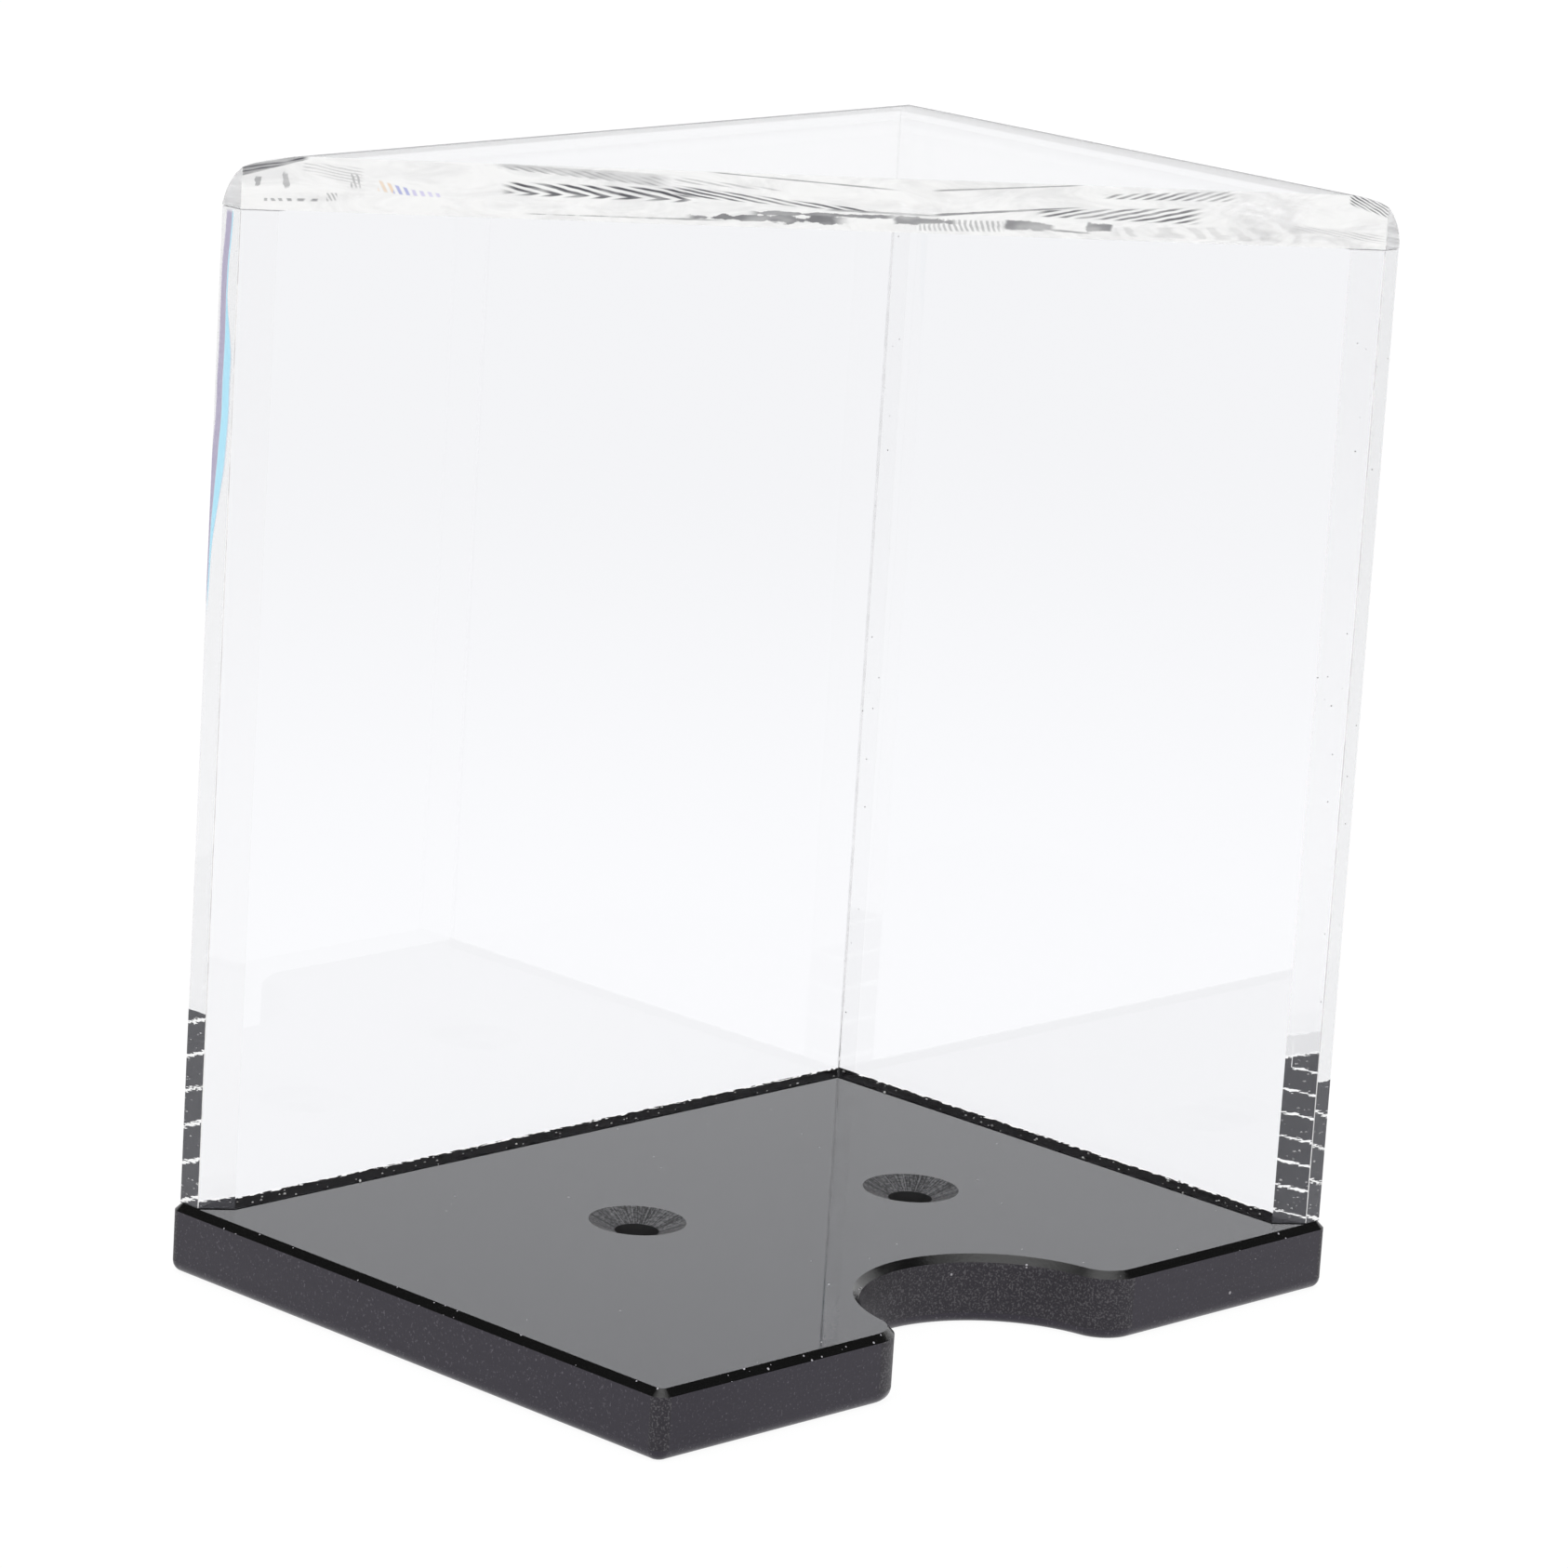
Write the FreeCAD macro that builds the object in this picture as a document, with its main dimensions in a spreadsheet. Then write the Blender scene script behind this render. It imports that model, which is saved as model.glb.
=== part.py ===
import FreeCAD, Part
import os

import Sketcher

# A table discard holder for playing cards: a black base plate, two clear walls that meet in a
# corner, and a clear top across that corner, all joined by thin lines of cement.
# The origin is the centre of the base's underside, +X runs along the long front edge, +Y goes
# from the front edge to the back wall and +Z is up. All sizes are millimetres and degrees.
SIZES = {
    "base_width": 100.0,
    "base_depth": 75.0,
    "base_thickness": 7.5,
    "base_corner_radius": 1.5,
    "base_top_chamfer": 0.75,
    "base_bottom_radius": 1.2,
    "notch_radius": 14.8,
    "notch_setback": 1.2,
    "notch_mouth_radius": 4.5,
    "screw_hole_diameter": 4.75,
    "countersink_diameter": 10.4,
    "countersink_angle": 137.0,
    "left_hole_x": 13.0,
    "left_hole_y": 4.8,
    "right_hole_x": 20.1,
    "right_hole_y": 3.4,
    "wall_inset": 0.8,
    "wall_thickness": 5.2,
    "wall_height": 106.0,
    "back_wall_land": 2.9,
    "side_wall_land": 2.2,
    "top_thickness": 5.6,
    "back_edge_round": 7.0,
    "side_edge_round": 5.6,
    "bond_thickness": 0.1,
    "cutter_overrun": 1.0,
}

SHEET = "dims"
TOLERANCE = 1e-4

# Outer faces of the walls and the top plate, measured from the middle of the base.
OUTER_X = "(dims.base_width / 2 - dims.wall_inset)"
OUTER_Y = "(dims.base_depth / 2 - dims.wall_inset)"

# Inner faces of the walls.
INNER_X = f"({OUTER_X} - dims.wall_thickness)"
INNER_Y = f"({OUTER_Y} - dims.wall_thickness)"

# One upright plane cuts both free wall ends and the front of the top plate.
BACK_CUT_Y = f"({OUTER_Y} - dims.back_wall_land)"
SIDE_CUT_X = f"({OUTER_X} - dims.side_wall_land)"
CUT_RUN = f"({SIDE_CUT_X} + {OUTER_X})"
CUT_RISE = f"({BACK_CUT_Y} + {OUTER_Y})"
BACK_BEVEL_X = f"(-{OUTER_X} + ({BACK_CUT_Y} - {INNER_Y}) * {CUT_RUN} / {CUT_RISE})"
SIDE_BEVEL_Y = f"(-{OUTER_Y} + ({SIDE_CUT_X} - {INNER_X}) * {CUT_RISE} / {CUT_RUN})"

# The side wall butts on the back wall's inner face, with cement between them.
SIDE_WALL_END_Y = f"({INNER_Y} - dims.bond_thickness)"

# Heights of the layers above the underside.
BASE_TOP = "dims.base_thickness"
WALL_FOOT = f"({BASE_TOP} + dims.bond_thickness)"
WALL_TOP = f"({WALL_FOOT} + dims.wall_height)"
PLATE_FOOT = f"({WALL_TOP} + dims.bond_thickness)"

BACK_WALL_OUTLINE = [
    (f"-{OUTER_X}", OUTER_Y),
    (f"-{OUTER_X}", BACK_CUT_Y),
    (BACK_BEVEL_X, INNER_Y),
    (OUTER_X, INNER_Y),
    (OUTER_X, OUTER_Y),
]
SIDE_WALL_OUTLINE = [
    (OUTER_X, f"-{OUTER_Y}"),
    (OUTER_X, SIDE_WALL_END_Y),
    (INNER_X, SIDE_WALL_END_Y),
    (INNER_X, SIDE_BEVEL_Y),
    (SIDE_CUT_X, f"-{OUTER_Y}"),
]
CORNER_BOND_OUTLINE = [
    (INNER_X, SIDE_WALL_END_Y),
    (OUTER_X, SIDE_WALL_END_Y),
    (OUTER_X, INNER_Y),
    (INNER_X, INNER_Y),
]
TOP_PLATE_OUTLINE = [
    (f"-{OUTER_X}", OUTER_Y),
    (f"-{OUTER_X}", BACK_CUT_Y),
    (SIDE_CUT_X, f"-{OUTER_Y}"),
    (OUTER_X, f"-{OUTER_Y}"),
    (OUTER_X, OUTER_Y),
]
BASE_OUTLINE = [
    ("-dims.base_width / 2", "-dims.base_depth / 2"),
    ("dims.base_width / 2", "-dims.base_depth / 2"),
    ("dims.base_width / 2", "dims.base_depth / 2"),
    ("-dims.base_width / 2", "dims.base_depth / 2"),
]


def make_sheet(doc):
    """Write the driving sizes into the document's spreadsheet."""
    sheet = doc.addObject("Spreadsheet::Sheet", SHEET)
    for row, (alias, value) in enumerate(SIZES.items(), start=1):
        sheet.set(f"A{row}", alias)
        sheet.set(f"B{row}", str(value))
        sheet.setAlias(f"B{row}", alias)
    doc.recompute()
    return sheet


def make_body(doc, name, height):
    """Start a piece whose lower face lies at the given height expression."""
    body = doc.addObject("PartDesign::Body", name)
    body.Label = name
    body.setExpression("Placement.Base.z", height)
    return body


def start_sketch(body, name, plane):
    """Start a sketch on one of the body's own origin planes."""
    sketch = body.newObject("Sketcher::SketchObject", name)
    planes = {feature.Role: feature for feature in body.Origin.OriginFeatures}
    sketch.AttachmentSupport = [(planes[plane], "")]
    sketch.MapMode = "FlatFace"
    return sketch


def value_of(sketch, expression):
    """Work out a sheet expression as a plain number."""
    return float(sketch.evalExpression(expression))


def drive(sketch, kind, geometry, expression):
    """Add a dimension to some sketch geometry and bind it to an expression."""
    constraint = Sketcher.Constraint(kind, *geometry, value_of(sketch, expression))
    index = sketch.addConstraint(constraint)
    sketch.setExpression(f"Constraints[{index}]", expression)


def pin_point(sketch, edge, end, place):
    """Hold one end of an edge at a pair of coordinate expressions."""
    drive(sketch, "DistanceX", (-1, 1, edge, end), place[0])
    drive(sketch, "DistanceY", (-1, 1, edge, end), place[1])


def draw_line(sketch, start, end):
    """Draw a straight edge between two coordinate pairs and hold its start."""
    corners = [FreeCAD.Vector(value_of(sketch, x), value_of(sketch, y), 0) for x, y in (start, end)]
    edge = sketch.addGeometry(Part.LineSegment(*corners), False)
    pin_point(sketch, edge, 1, start)
    return edge


def draw_outline(sketch, corners):
    """Draw a closed outline of straight edges through the given corners."""
    following = corners[1:] + corners[:1]
    edges = [draw_line(sketch, start, end) for start, end in zip(corners, following)]
    for edge, after in zip(edges, edges[1:] + edges[:1]):
        sketch.addConstraint(Sketcher.Constraint("Coincident", edge, 2, after, 1))


def draw_circle(sketch, centre, diameter):
    """Draw a circle at a pair of coordinate expressions."""
    middle = FreeCAD.Vector(value_of(sketch, centre[0]), value_of(sketch, centre[1]), 0)
    radius = value_of(sketch, diameter) / 2
    circle = Part.Circle(middle, FreeCAD.Vector(0, 0, 1), radius)
    edge = sketch.addGeometry(circle, False)
    pin_point(sketch, edge, 3, centre)
    drive(sketch, "Diameter", (edge,), diameter)


def pad(body, name, outline, thickness):
    """Raise an outline drawn on the body's ground plane to a thickness."""
    sketch = start_sketch(body, f"{name}_outline", "XY_Plane")
    draw_outline(sketch, outline)
    feature = body.newObject("PartDesign::Pad", f"{name}_pad")
    feature.Profile = sketch
    feature.setExpression("Length", thickness)
    body.Document.recompute()
    return feature


def cut_through(body, name, sketch):
    """Cut a sketch right through the body to both sides, and make sure that it bites."""
    before = body.Shape.Volume
    feature = body.newObject("PartDesign::Pocket", name)
    feature.Profile = sketch
    feature.Type = "ThroughAll"
    feature.SideType = "Symmetric"
    body.Document.recompute()
    if body.Shape.Volume > before - TOLERANCE:
        raise RuntimeError(f"{name} removed nothing")
    return feature


def edges_where(feature, test):
    """Name the edges of a feature's shape that pass a test."""
    edges = enumerate(feature.Shape.Edges, start=1)
    return [f"Edge{number}" for number, edge in edges if test(edge)]


def is_upright(edge):
    """Tell whether an edge runs straight up."""
    box = edge.BoundBox
    return box.XLength < TOLERANCE and box.YLength < TOLERANCE


def is_level_at(height):
    """Make a test for edges that lie in one level plane."""
    def test(edge):
        box = edge.BoundBox
        return abs(box.ZMin - height) < TOLERANCE and abs(box.ZMax - height) < TOLERANCE
    return test


def dress_edges(body, kind, name, feature, edges, size_name, size):
    """Add a fillet or a chamfer along some edges of a feature."""
    dressing = body.newObject(f"PartDesign::{kind}", name)
    dressing.Base = (feature, edges)
    dressing.setExpression(size_name, size)
    body.Document.recompute()
    return dressing


def cut_notch(body):
    """Cut the round thumb notch into the front edge."""
    sketch = start_sketch(body, "notch_outline", "XY_Plane")
    radius = value_of(sketch, "dims.notch_radius")
    middle_y = "-dims.base_depth / 2 + dims.notch_setback"
    middle = FreeCAD.Vector(0, value_of(sketch, middle_y), 0)
    edge = sketch.addGeometry(Part.Circle(middle, FreeCAD.Vector(0, 0, 1), radius), False)
    sketch.addConstraint(Sketcher.Constraint("PointOnObject", edge, 3, -2))
    drive(sketch, "DistanceY", (-1, 1, edge, 3), middle_y)
    drive(sketch, "Radius", (edge,), "dims.notch_radius")
    return cut_through(body, "notch", sketch)


def drill_screw_holes(body):
    """Drill the two countersunk screw holes down through the base."""
    sketch = start_sketch(body, "screw_hole_places", "XY_Plane")
    sketch.setExpression("AttachmentOffset.Base.z", "dims.base_thickness")
    for centre in (("-dims.left_hole_x", "dims.left_hole_y"), ("dims.right_hole_x", "-dims.right_hole_y")):
        draw_circle(sketch, centre, "dims.screw_hole_diameter")
    body.Document.recompute()
    before = body.Shape.Volume
    holes = body.newObject("PartDesign::Hole", "screw_holes")
    holes.Profile = sketch
    holes.DepthType = "ThroughAll"
    holes.HoleCutType = "Countersink"
    holes.HoleCutCustomValues = True
    holes.setExpression("Diameter", "dims.screw_hole_diameter")
    holes.setExpression("HoleCutDiameter", "dims.countersink_diameter")
    holes.setExpression("HoleCutCountersinkAngle", "dims.countersink_angle")
    body.Document.recompute()
    if body.Shape.Volume > before - TOLERANCE:
        raise RuntimeError("the screw holes removed nothing")


def make_base_plate(doc):
    """Make the black base plate with its thumb notch, soft edges and screw holes."""
    body = make_body(doc, "base_plate", "0")
    slab = pad(body, "base", BASE_OUTLINE, "dims.base_thickness")
    front = slab.Shape.BoundBox.YMin
    top = slab.Shape.BoundBox.ZMax
    corners = edges_where(slab, is_upright)
    rounded = dress_edges(
        body, "Fillet", "base_corners", slab, corners, "Radius", "dims.base_corner_radius")
    notch = cut_notch(body)
    reach = value_of(notch, "dims.notch_radius") + TOLERANCE
    at_mouth = edges_where(
        notch,
        lambda edge: is_upright(edge)
        and abs(edge.BoundBox.YMin - front) < TOLERANCE
        and abs(edge.BoundBox.XMin) < reach)
    mouth = dress_edges(
        body, "Fillet", "notch_mouth", notch, at_mouth, "Radius", "dims.notch_mouth_radius")
    chamfer = dress_edges(
        body, "Chamfer", "top_chamfer", mouth, edges_where(mouth, is_level_at(top)),
        "Size", "dims.base_top_chamfer")
    dress_edges(
        body, "Fillet", "bottom_round", chamfer, edges_where(chamfer, is_level_at(0)),
        "Radius", "dims.base_bottom_radius")
    drill_screw_holes(body)
    return body


def draw_round_over(sketch, outer, reach):
    """Draw what is cut away where one arc rounds the top plate's outer edge.

    The arc starts on the plate's lower outer edge and ends level with the top face, so its
    radius follows from the reach and the thickness.
    """
    reach_length = value_of(sketch, reach)
    thickness = value_of(sketch, "dims.top_thickness")
    radius = (reach_length ** 2 + thickness ** 2) / (2 * thickness)
    inward = f"{outer} - {reach}"
    beyond = f"{outer} + dims.cutter_overrun"
    above = "dims.top_thickness + dims.cutter_overrun"
    corners = [(inward, "dims.top_thickness"), (inward, above), (beyond, above), (beyond, "0")]
    edges = [draw_line(sketch, start, end) for start, end in zip(corners[:-1], corners[1:])]
    lower_outer = FreeCAD.Vector(value_of(sketch, outer), 0, 0)
    last_corner = FreeCAD.Vector(value_of(sketch, beyond), 0, 0)
    edges.append(sketch.addGeometry(Part.LineSegment(last_corner, lower_outer), False))
    middle = FreeCAD.Vector(value_of(sketch, inward), thickness - radius, 0)
    crest = middle + FreeCAD.Vector(0, radius, 0)
    slope = middle + (crest - middle + lower_outer - middle).normalize() * radius
    arc = sketch.addGeometry(Part.Arc(lower_outer, slope, crest), False)
    for edge, after in zip(edges[:-1], edges[1:]):
        sketch.addConstraint(Sketcher.Constraint("Coincident", edge, 2, after, 1))
    foot = edges[-1]
    for end in (1, 2):
        sketch.addConstraint(Sketcher.Constraint("PointOnObject", foot, end, -1))
    drive(sketch, "DistanceX", (-1, 1, foot, 2), outer)
    sketch.addConstraint(Sketcher.Constraint("Coincident", foot, 2, arc, 1))
    sketch.addConstraint(Sketcher.Constraint("Coincident", arc, 2, edges[0], 1))
    sketch.addConstraint(Sketcher.Constraint("Vertical", arc, 3, arc, 2))


def make_top_plate(doc):
    """Make the clear top with both outer edges rounded over."""
    body = make_body(doc, "top_plate", PLATE_FOOT)
    pad(body, "top", TOP_PLATE_OUTLINE, "dims.top_thickness")
    rounds = (
        ("back_round", "YZ_Plane", OUTER_Y, "dims.back_edge_round"),
        ("side_round", "XZ_Plane", OUTER_X, "dims.side_edge_round"),
    )
    for name, plane, outer, reach in rounds:
        sketch = start_sketch(body, f"{name}_outline", plane)
        draw_round_over(sketch, outer, reach)
        cut_through(body, name, sketch)
    return body


def make_layer(doc, name, height, outline, thickness):
    """Make a piece that is one outline raised to a thickness."""
    body = make_body(doc, name, height)
    pad(body, name, outline, thickness)
    return body


def make_pieces(doc):
    """Make every piece of the holder."""
    cement = "dims.bond_thickness"
    return [
        make_base_plate(doc),
        make_layer(doc, "back_wall_base_bond", BASE_TOP, BACK_WALL_OUTLINE, cement),
        make_layer(doc, "side_wall_base_bond", BASE_TOP, SIDE_WALL_OUTLINE, cement),
        make_layer(doc, "back_wall", WALL_FOOT, BACK_WALL_OUTLINE, "dims.wall_height"),
        make_layer(doc, "side_wall", WALL_FOOT, SIDE_WALL_OUTLINE, "dims.wall_height"),
        make_layer(doc, "corner_bond", WALL_FOOT, CORNER_BOND_OUTLINE, "dims.wall_height"),
        make_layer(doc, "back_wall_top_bond", WALL_TOP, BACK_WALL_OUTLINE, cement),
        make_layer(doc, "side_wall_top_bond", WALL_TOP, SIDE_WALL_OUTLINE, cement),
        make_top_plate(doc),
    ]


def check(doc, pieces):
    """Stop if any feature failed or any piece isn't one sound solid."""
    for item in doc.Objects:
        if "Invalid" in item.State or "Error" in item.State:
            raise RuntimeError(f"{item.Label} failed: {item.State}")
    for piece in pieces:
        if piece.Shape.isNull() or not piece.Shape.isValid() or len(piece.Shape.Solids) != 1:
            raise RuntimeError(f"{piece.Label} isn't one sound solid")


def main():
    """Build the document and write one file for each piece."""
    doc = FreeCAD.newDocument("card_discard_holder")
    make_sheet(doc)
    pieces = make_pieces(doc)
    doc.recompute()
    check(doc, pieces)
    os.makedirs("parts", exist_ok=True)
    for piece in pieces:
        piece.Shape.exportStep(f"parts/{piece.Label}.step")


main()
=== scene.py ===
import logging
import math
from dataclasses import dataclass
from enum import Enum
from typing import Any, Iterable, Mapping, Sequence, Union

import bmesh
import bpy
from mathutils import Matrix, Vector


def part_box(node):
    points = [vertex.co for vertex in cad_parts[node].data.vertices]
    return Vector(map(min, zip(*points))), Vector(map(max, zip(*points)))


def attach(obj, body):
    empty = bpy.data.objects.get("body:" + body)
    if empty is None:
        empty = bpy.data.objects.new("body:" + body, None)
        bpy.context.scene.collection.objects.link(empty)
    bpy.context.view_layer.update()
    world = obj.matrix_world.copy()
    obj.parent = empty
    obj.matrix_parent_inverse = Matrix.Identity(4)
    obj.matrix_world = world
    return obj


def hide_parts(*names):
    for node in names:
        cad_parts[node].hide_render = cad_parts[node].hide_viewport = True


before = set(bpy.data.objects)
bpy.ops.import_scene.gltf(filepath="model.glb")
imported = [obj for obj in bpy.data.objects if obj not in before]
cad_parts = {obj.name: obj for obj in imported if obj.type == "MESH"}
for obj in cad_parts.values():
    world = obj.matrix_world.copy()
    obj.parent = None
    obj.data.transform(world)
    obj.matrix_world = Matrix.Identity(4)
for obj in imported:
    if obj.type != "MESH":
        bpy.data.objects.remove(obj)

MM = 0.001
MM_PER_METRE = 1000.0
BODY = "root"
SHARP_ANGLE = math.radians(25)
WELD_DISTANCE = 1e-7
LIGHT_BOUNCES = 80
TRANSPARENT_BOUNCES = 48

Plan = tuple[float, float]
Cells = tuple[float, float, float]
Colour = tuple[float, float, float, float]

WHITE: Colour = (1.0, 1.0, 1.0, 1.0)
CLEAR_TINT: Colour = (0.985, 0.988, 0.998, 1.0)
JOINT_TINT: Colour = (0.996, 0.996, 0.996, 1.0)

log = logging.getLogger("card_holder")


class Slot(Enum):
    """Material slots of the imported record."""

    BLACK = "black_acrylic"
    CLEAR = "clear_acrylic"
    CEMENT = "cement"


class Axis(Enum):
    """Row axes, by their place in a vector."""

    X = 0
    Y = 1
    Z = 2


class Field:
    """A shader value that turns Python arithmetic into Math nodes."""

    def __init__(self, bench: "Bench", socket: bpy.types.NodeSocket) -> None:
        """Wrap one output socket."""
        self.bench = bench
        self.socket = socket

    def _math(self, operation: str, first: "Value", second: "Value") -> "Field":
        """Add a Math node of two values."""
        node = self.bench.add("ShaderNodeMath", {"operation": operation}, {0: first, 1: second})
        return Field(self.bench, node.outputs[0])

    def __add__(self, other: "Value") -> "Field":
        """Add another value."""
        return self._math("ADD", self, other)

    def __radd__(self, other: "Value") -> "Field":
        """Add this to a number."""
        return self._math("ADD", other, self)

    def __sub__(self, other: "Value") -> "Field":
        """Take another value away."""
        return self._math("SUBTRACT", self, other)

    def __rsub__(self, other: "Value") -> "Field":
        """Take this away from a number."""
        return self._math("SUBTRACT", other, self)

    def __mul__(self, other: "Value") -> "Field":
        """Multiply by another value."""
        return self._math("MULTIPLY", self, other)

    def __rmul__(self, other: "Value") -> "Field":
        """Multiply a number by this."""
        return self._math("MULTIPLY", other, self)

    def lower(self, other: "Value") -> "Field":
        """Take the lower of two values."""
        return self._math("MINIMUM", self, other)

    def higher(self, other: "Value") -> "Field":
        """Take the higher of two values."""
        return self._math("MAXIMUM", self, other)

    def sine(self) -> "Field":
        """Take the sine of an angle in radians."""
        node = self.bench.add("ShaderNodeMath", {"operation": "SINE"}, {0: self})
        return Field(self.bench, node.outputs[0])

    def rise(self, low: "Value", high: "Value") -> "Field":
        """Go smoothly from 0 at the low value to 1 at the high one.

        Args:
            low: Where the rise starts.
            high: Where the rise ends.

        Returns:
            The smooth step.
        """
        node = self.bench.add(
            "ShaderNodeMapRange",
            {"interpolation_type": "SMOOTHSTEP"},
            {"Value": self, "From Min": low, "From Max": high},
        )
        return Field(self.bench, node.outputs[0])


Value = Union[Field, float, int]


class Bench:
    """Adds and links the nodes of one tree."""

    def __init__(self, tree: bpy.types.NodeTree) -> None:
        """Start with an emptied tree.

        Args:
            tree: The node tree to fill.
        """
        self.tree = tree
        tree.nodes.clear()

    def add(
        self,
        kind: str,
        settings: Mapping[str, Any] | None = None,
        sockets: Mapping[Union[str, int], Any] | None = None,
    ) -> bpy.types.Node:
        """Add one node.

        Args:
            kind: The node's type name.
            settings: Properties of the node, which are set first.
            sockets: Values or links of its inputs, by name or place.

        Returns:
            The new node.
        """
        node = self.tree.nodes.new(kind)
        for name, value in (settings or {}).items():
            setattr(node, name, value)
        for key, value in (sockets or {}).items():
            if isinstance(value, Field):
                self.tree.links.new(value.socket, node.inputs[key])
            elif isinstance(value, bpy.types.NodeSocket):
                self.tree.links.new(value, node.inputs[key])
            else:
                node.inputs[key].default_value = value
        return node

    def place(self) -> bpy.types.NodeSocket:
        """Give the position on the piece, in metres of the row frame."""
        return self.add("ShaderNodeTexCoord").outputs["Object"]

    def stretched(self, scale: Sequence[float], turn: float = 0.0) -> bpy.types.NodeSocket:
        """Give the position with each axis stretched.

        Args:
            scale: Cells per metre along each axis.
            turn: Turn about the upright axis before the stretch, in radians.

        Returns:
            The vector socket.
        """
        turned = self.add(
            "ShaderNodeVectorRotate",
            {"rotation_type": "Z_AXIS"},
            {"Vector": self.place(), "Angle": turn},
        )
        node = self.add(
            "ShaderNodeVectorMath", {"operation": "MULTIPLY"}, {0: turned.outputs[0], 1: tuple(scale)})
        return node.outputs[0]

    def cells(self, size: float) -> bpy.types.NodeSocket:
        """Give the position counted in even cells of a size in metres."""
        return self.stretched([1 / size] * 3)

    def axis(self, axis: Axis) -> Field:
        """Give one coordinate of the position."""
        node = self.add("ShaderNodeSeparateXYZ", None, {0: self.place()})
        return Field(self, node.outputs[axis.value])

    def noise(self, vector: bpy.types.NodeSocket, detail: float = 2.0, twist: float = 0.0) -> Field:
        """Give soft noise from 0 to 1 with cells of size 1.

        Args:
            vector: Where the noise is read.
            detail: Octaves of finer noise.
            twist: How far the cells are distorted.

        Returns:
            The noise value.
        """
        node = self.add(
            "ShaderNodeTexNoise", None,
            {"Vector": vector, "Scale": 1.0, "Detail": detail, "Distortion": twist})
        return Field(self, node.outputs[0])

    def dots(self, vector: bpy.types.NodeSocket, radius: float, share: float) -> Field:
        """Give scattered round dots, 1 inside and 0 outside.

        Args:
            vector: Where the dots are read, with about one cell in each unit.
            radius: Largest radius of a dot, in cells.
            share: Part of the cells that hold a dot.

        Returns:
            The mask of dots.
        """
        cells = self.add("ShaderNodeTexVoronoi", {"feature": "F1"}, {"Vector": vector, "Scale": 1.0})
        channels = self.add("ShaderNodeSeparateColor", None, {0: cells.outputs["Color"]})
        chance = Field(self, channels.outputs[0])
        size = radius * (chance * (1 / share))
        distance = Field(self, cells.outputs["Distance"])
        inside = 1 - distance.rise(size * 0.7, size)
        return inside * (1 - chance.rise(share * 0.99, share))

    def blend(self, factor: Value, first: Any, second: Any) -> bpy.types.NodeSocket:
        """Mix two colours.

        Args:
            factor: 0 for the first colour, 1 for the second.
            first: A colour or its socket.
            second: A colour or its socket.

        Returns:
            The colour socket.
        """
        node = self.add("ShaderNodeMix", {"data_type": "RGBA"}, {0: factor, 6: first, 7: second})
        return node.outputs[2]

    def scaled(self, colour: Any, level: Field) -> bpy.types.NodeSocket:
        """Give a colour or vector times a level."""
        node = self.add("ShaderNodeVectorMath", {"operation": "SCALE"}, {0: colour, "Scale": level})
        return node.outputs[0]

    def bump(self, height: Field) -> bpy.types.NodeSocket:
        """Give the normal of a surface raised by a height in metres."""
        node = self.add("ShaderNodeBump", None, {"Strength": 1.0, "Distance": 1.0, "Height": height})
        return node.outputs[0]

    def principled(self, **sockets: Any) -> bpy.types.NodeSocket:
        """Add a Principled shader, with its inputs named in words joined by underscores."""
        named = {key.replace("_", " "): value for key, value in sockets.items()}
        return self.add("ShaderNodeBsdfPrincipled", None, named).outputs[0]

    def mix(self, factor: Value, first: Any, second: Any) -> bpy.types.NodeSocket:
        """Mix two shaders."""
        return self.add("ShaderNodeMixShader", None, {0: factor, 1: first, 2: second}).outputs[0]

    def diffuse(self, colour: Colour) -> bpy.types.NodeSocket:
        """Add a plain matt shader."""
        return self.add("ShaderNodeBsdfDiffuse", None, {"Color": colour}).outputs[0]

    def translucent(self, colour: Colour) -> bpy.types.NodeSocket:
        """Add a shader that lets light through softly."""
        return self.add("ShaderNodeBsdfTranslucent", None, {"Color": colour}).outputs[0]

    def transparent(self, colour: Colour) -> bpy.types.NodeSocket:
        """Add a shader that lets light straight through."""
        return self.add("ShaderNodeBsdfTransparent", None, {"Color": colour}).outputs[0]


class Finish:
    """A surface finish that makes its own material."""

    title: str

    def shade(self, bench: Bench) -> bpy.types.NodeSocket:
        """Build the surface shader."""
        raise NotImplementedError

    def material(self) -> bpy.types.Material:
        """Make the material, or give it again if it is made already.

        Returns:
            The material.
        """
        found = bpy.data.materials.get(self.title)
        if found:
            return found
        made = bpy.data.materials.new(self.title)
        made.use_nodes = True
        bench = Bench(made.node_tree)
        surface = self.shade(bench)
        bench.add("ShaderNodeOutputMaterial", None, {"Surface": surface})
        return made


@dataclass(frozen=True)
class PolishedBlack(Finish):
    """Black acrylic sheet with its factory polish, fine dust and faint smears."""

    title: str = "polished_black"
    colour: Colour = (0.004, 0.004, 0.005, 1.0)
    dust_colour: Colour = (0.50, 0.50, 0.53, 1.0)
    dust_cell: float = 2.0 * MM
    dust_radius: float = 0.08
    dust_share: float = 0.28
    smear_cell: float = 14 * MM
    sheen: Colour = (0.84, 0.87, 1.0, 1.0)
    ior: float = 1.59

    def shade(self, bench: Bench) -> bpy.types.NodeSocket:
        """Build black gloss with dust specks and smears.

        Args:
            bench: The tree to add to.

        Returns:
            The surface shader.
        """
        dust = bench.dots(bench.cells(self.dust_cell), self.dust_radius, self.dust_share)
        smear = bench.noise(bench.cells(self.smear_cell), 3.0, 0.6).rise(0.45, 0.75)
        return bench.principled(
            Base_Color=bench.blend(dust * 0.7, self.colour, self.dust_colour),
            Roughness=0.03 + smear * 0.03 + dust * 0.5,
            Specular_Tint=self.sheen,
            IOR=self.ior,
        )


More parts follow.
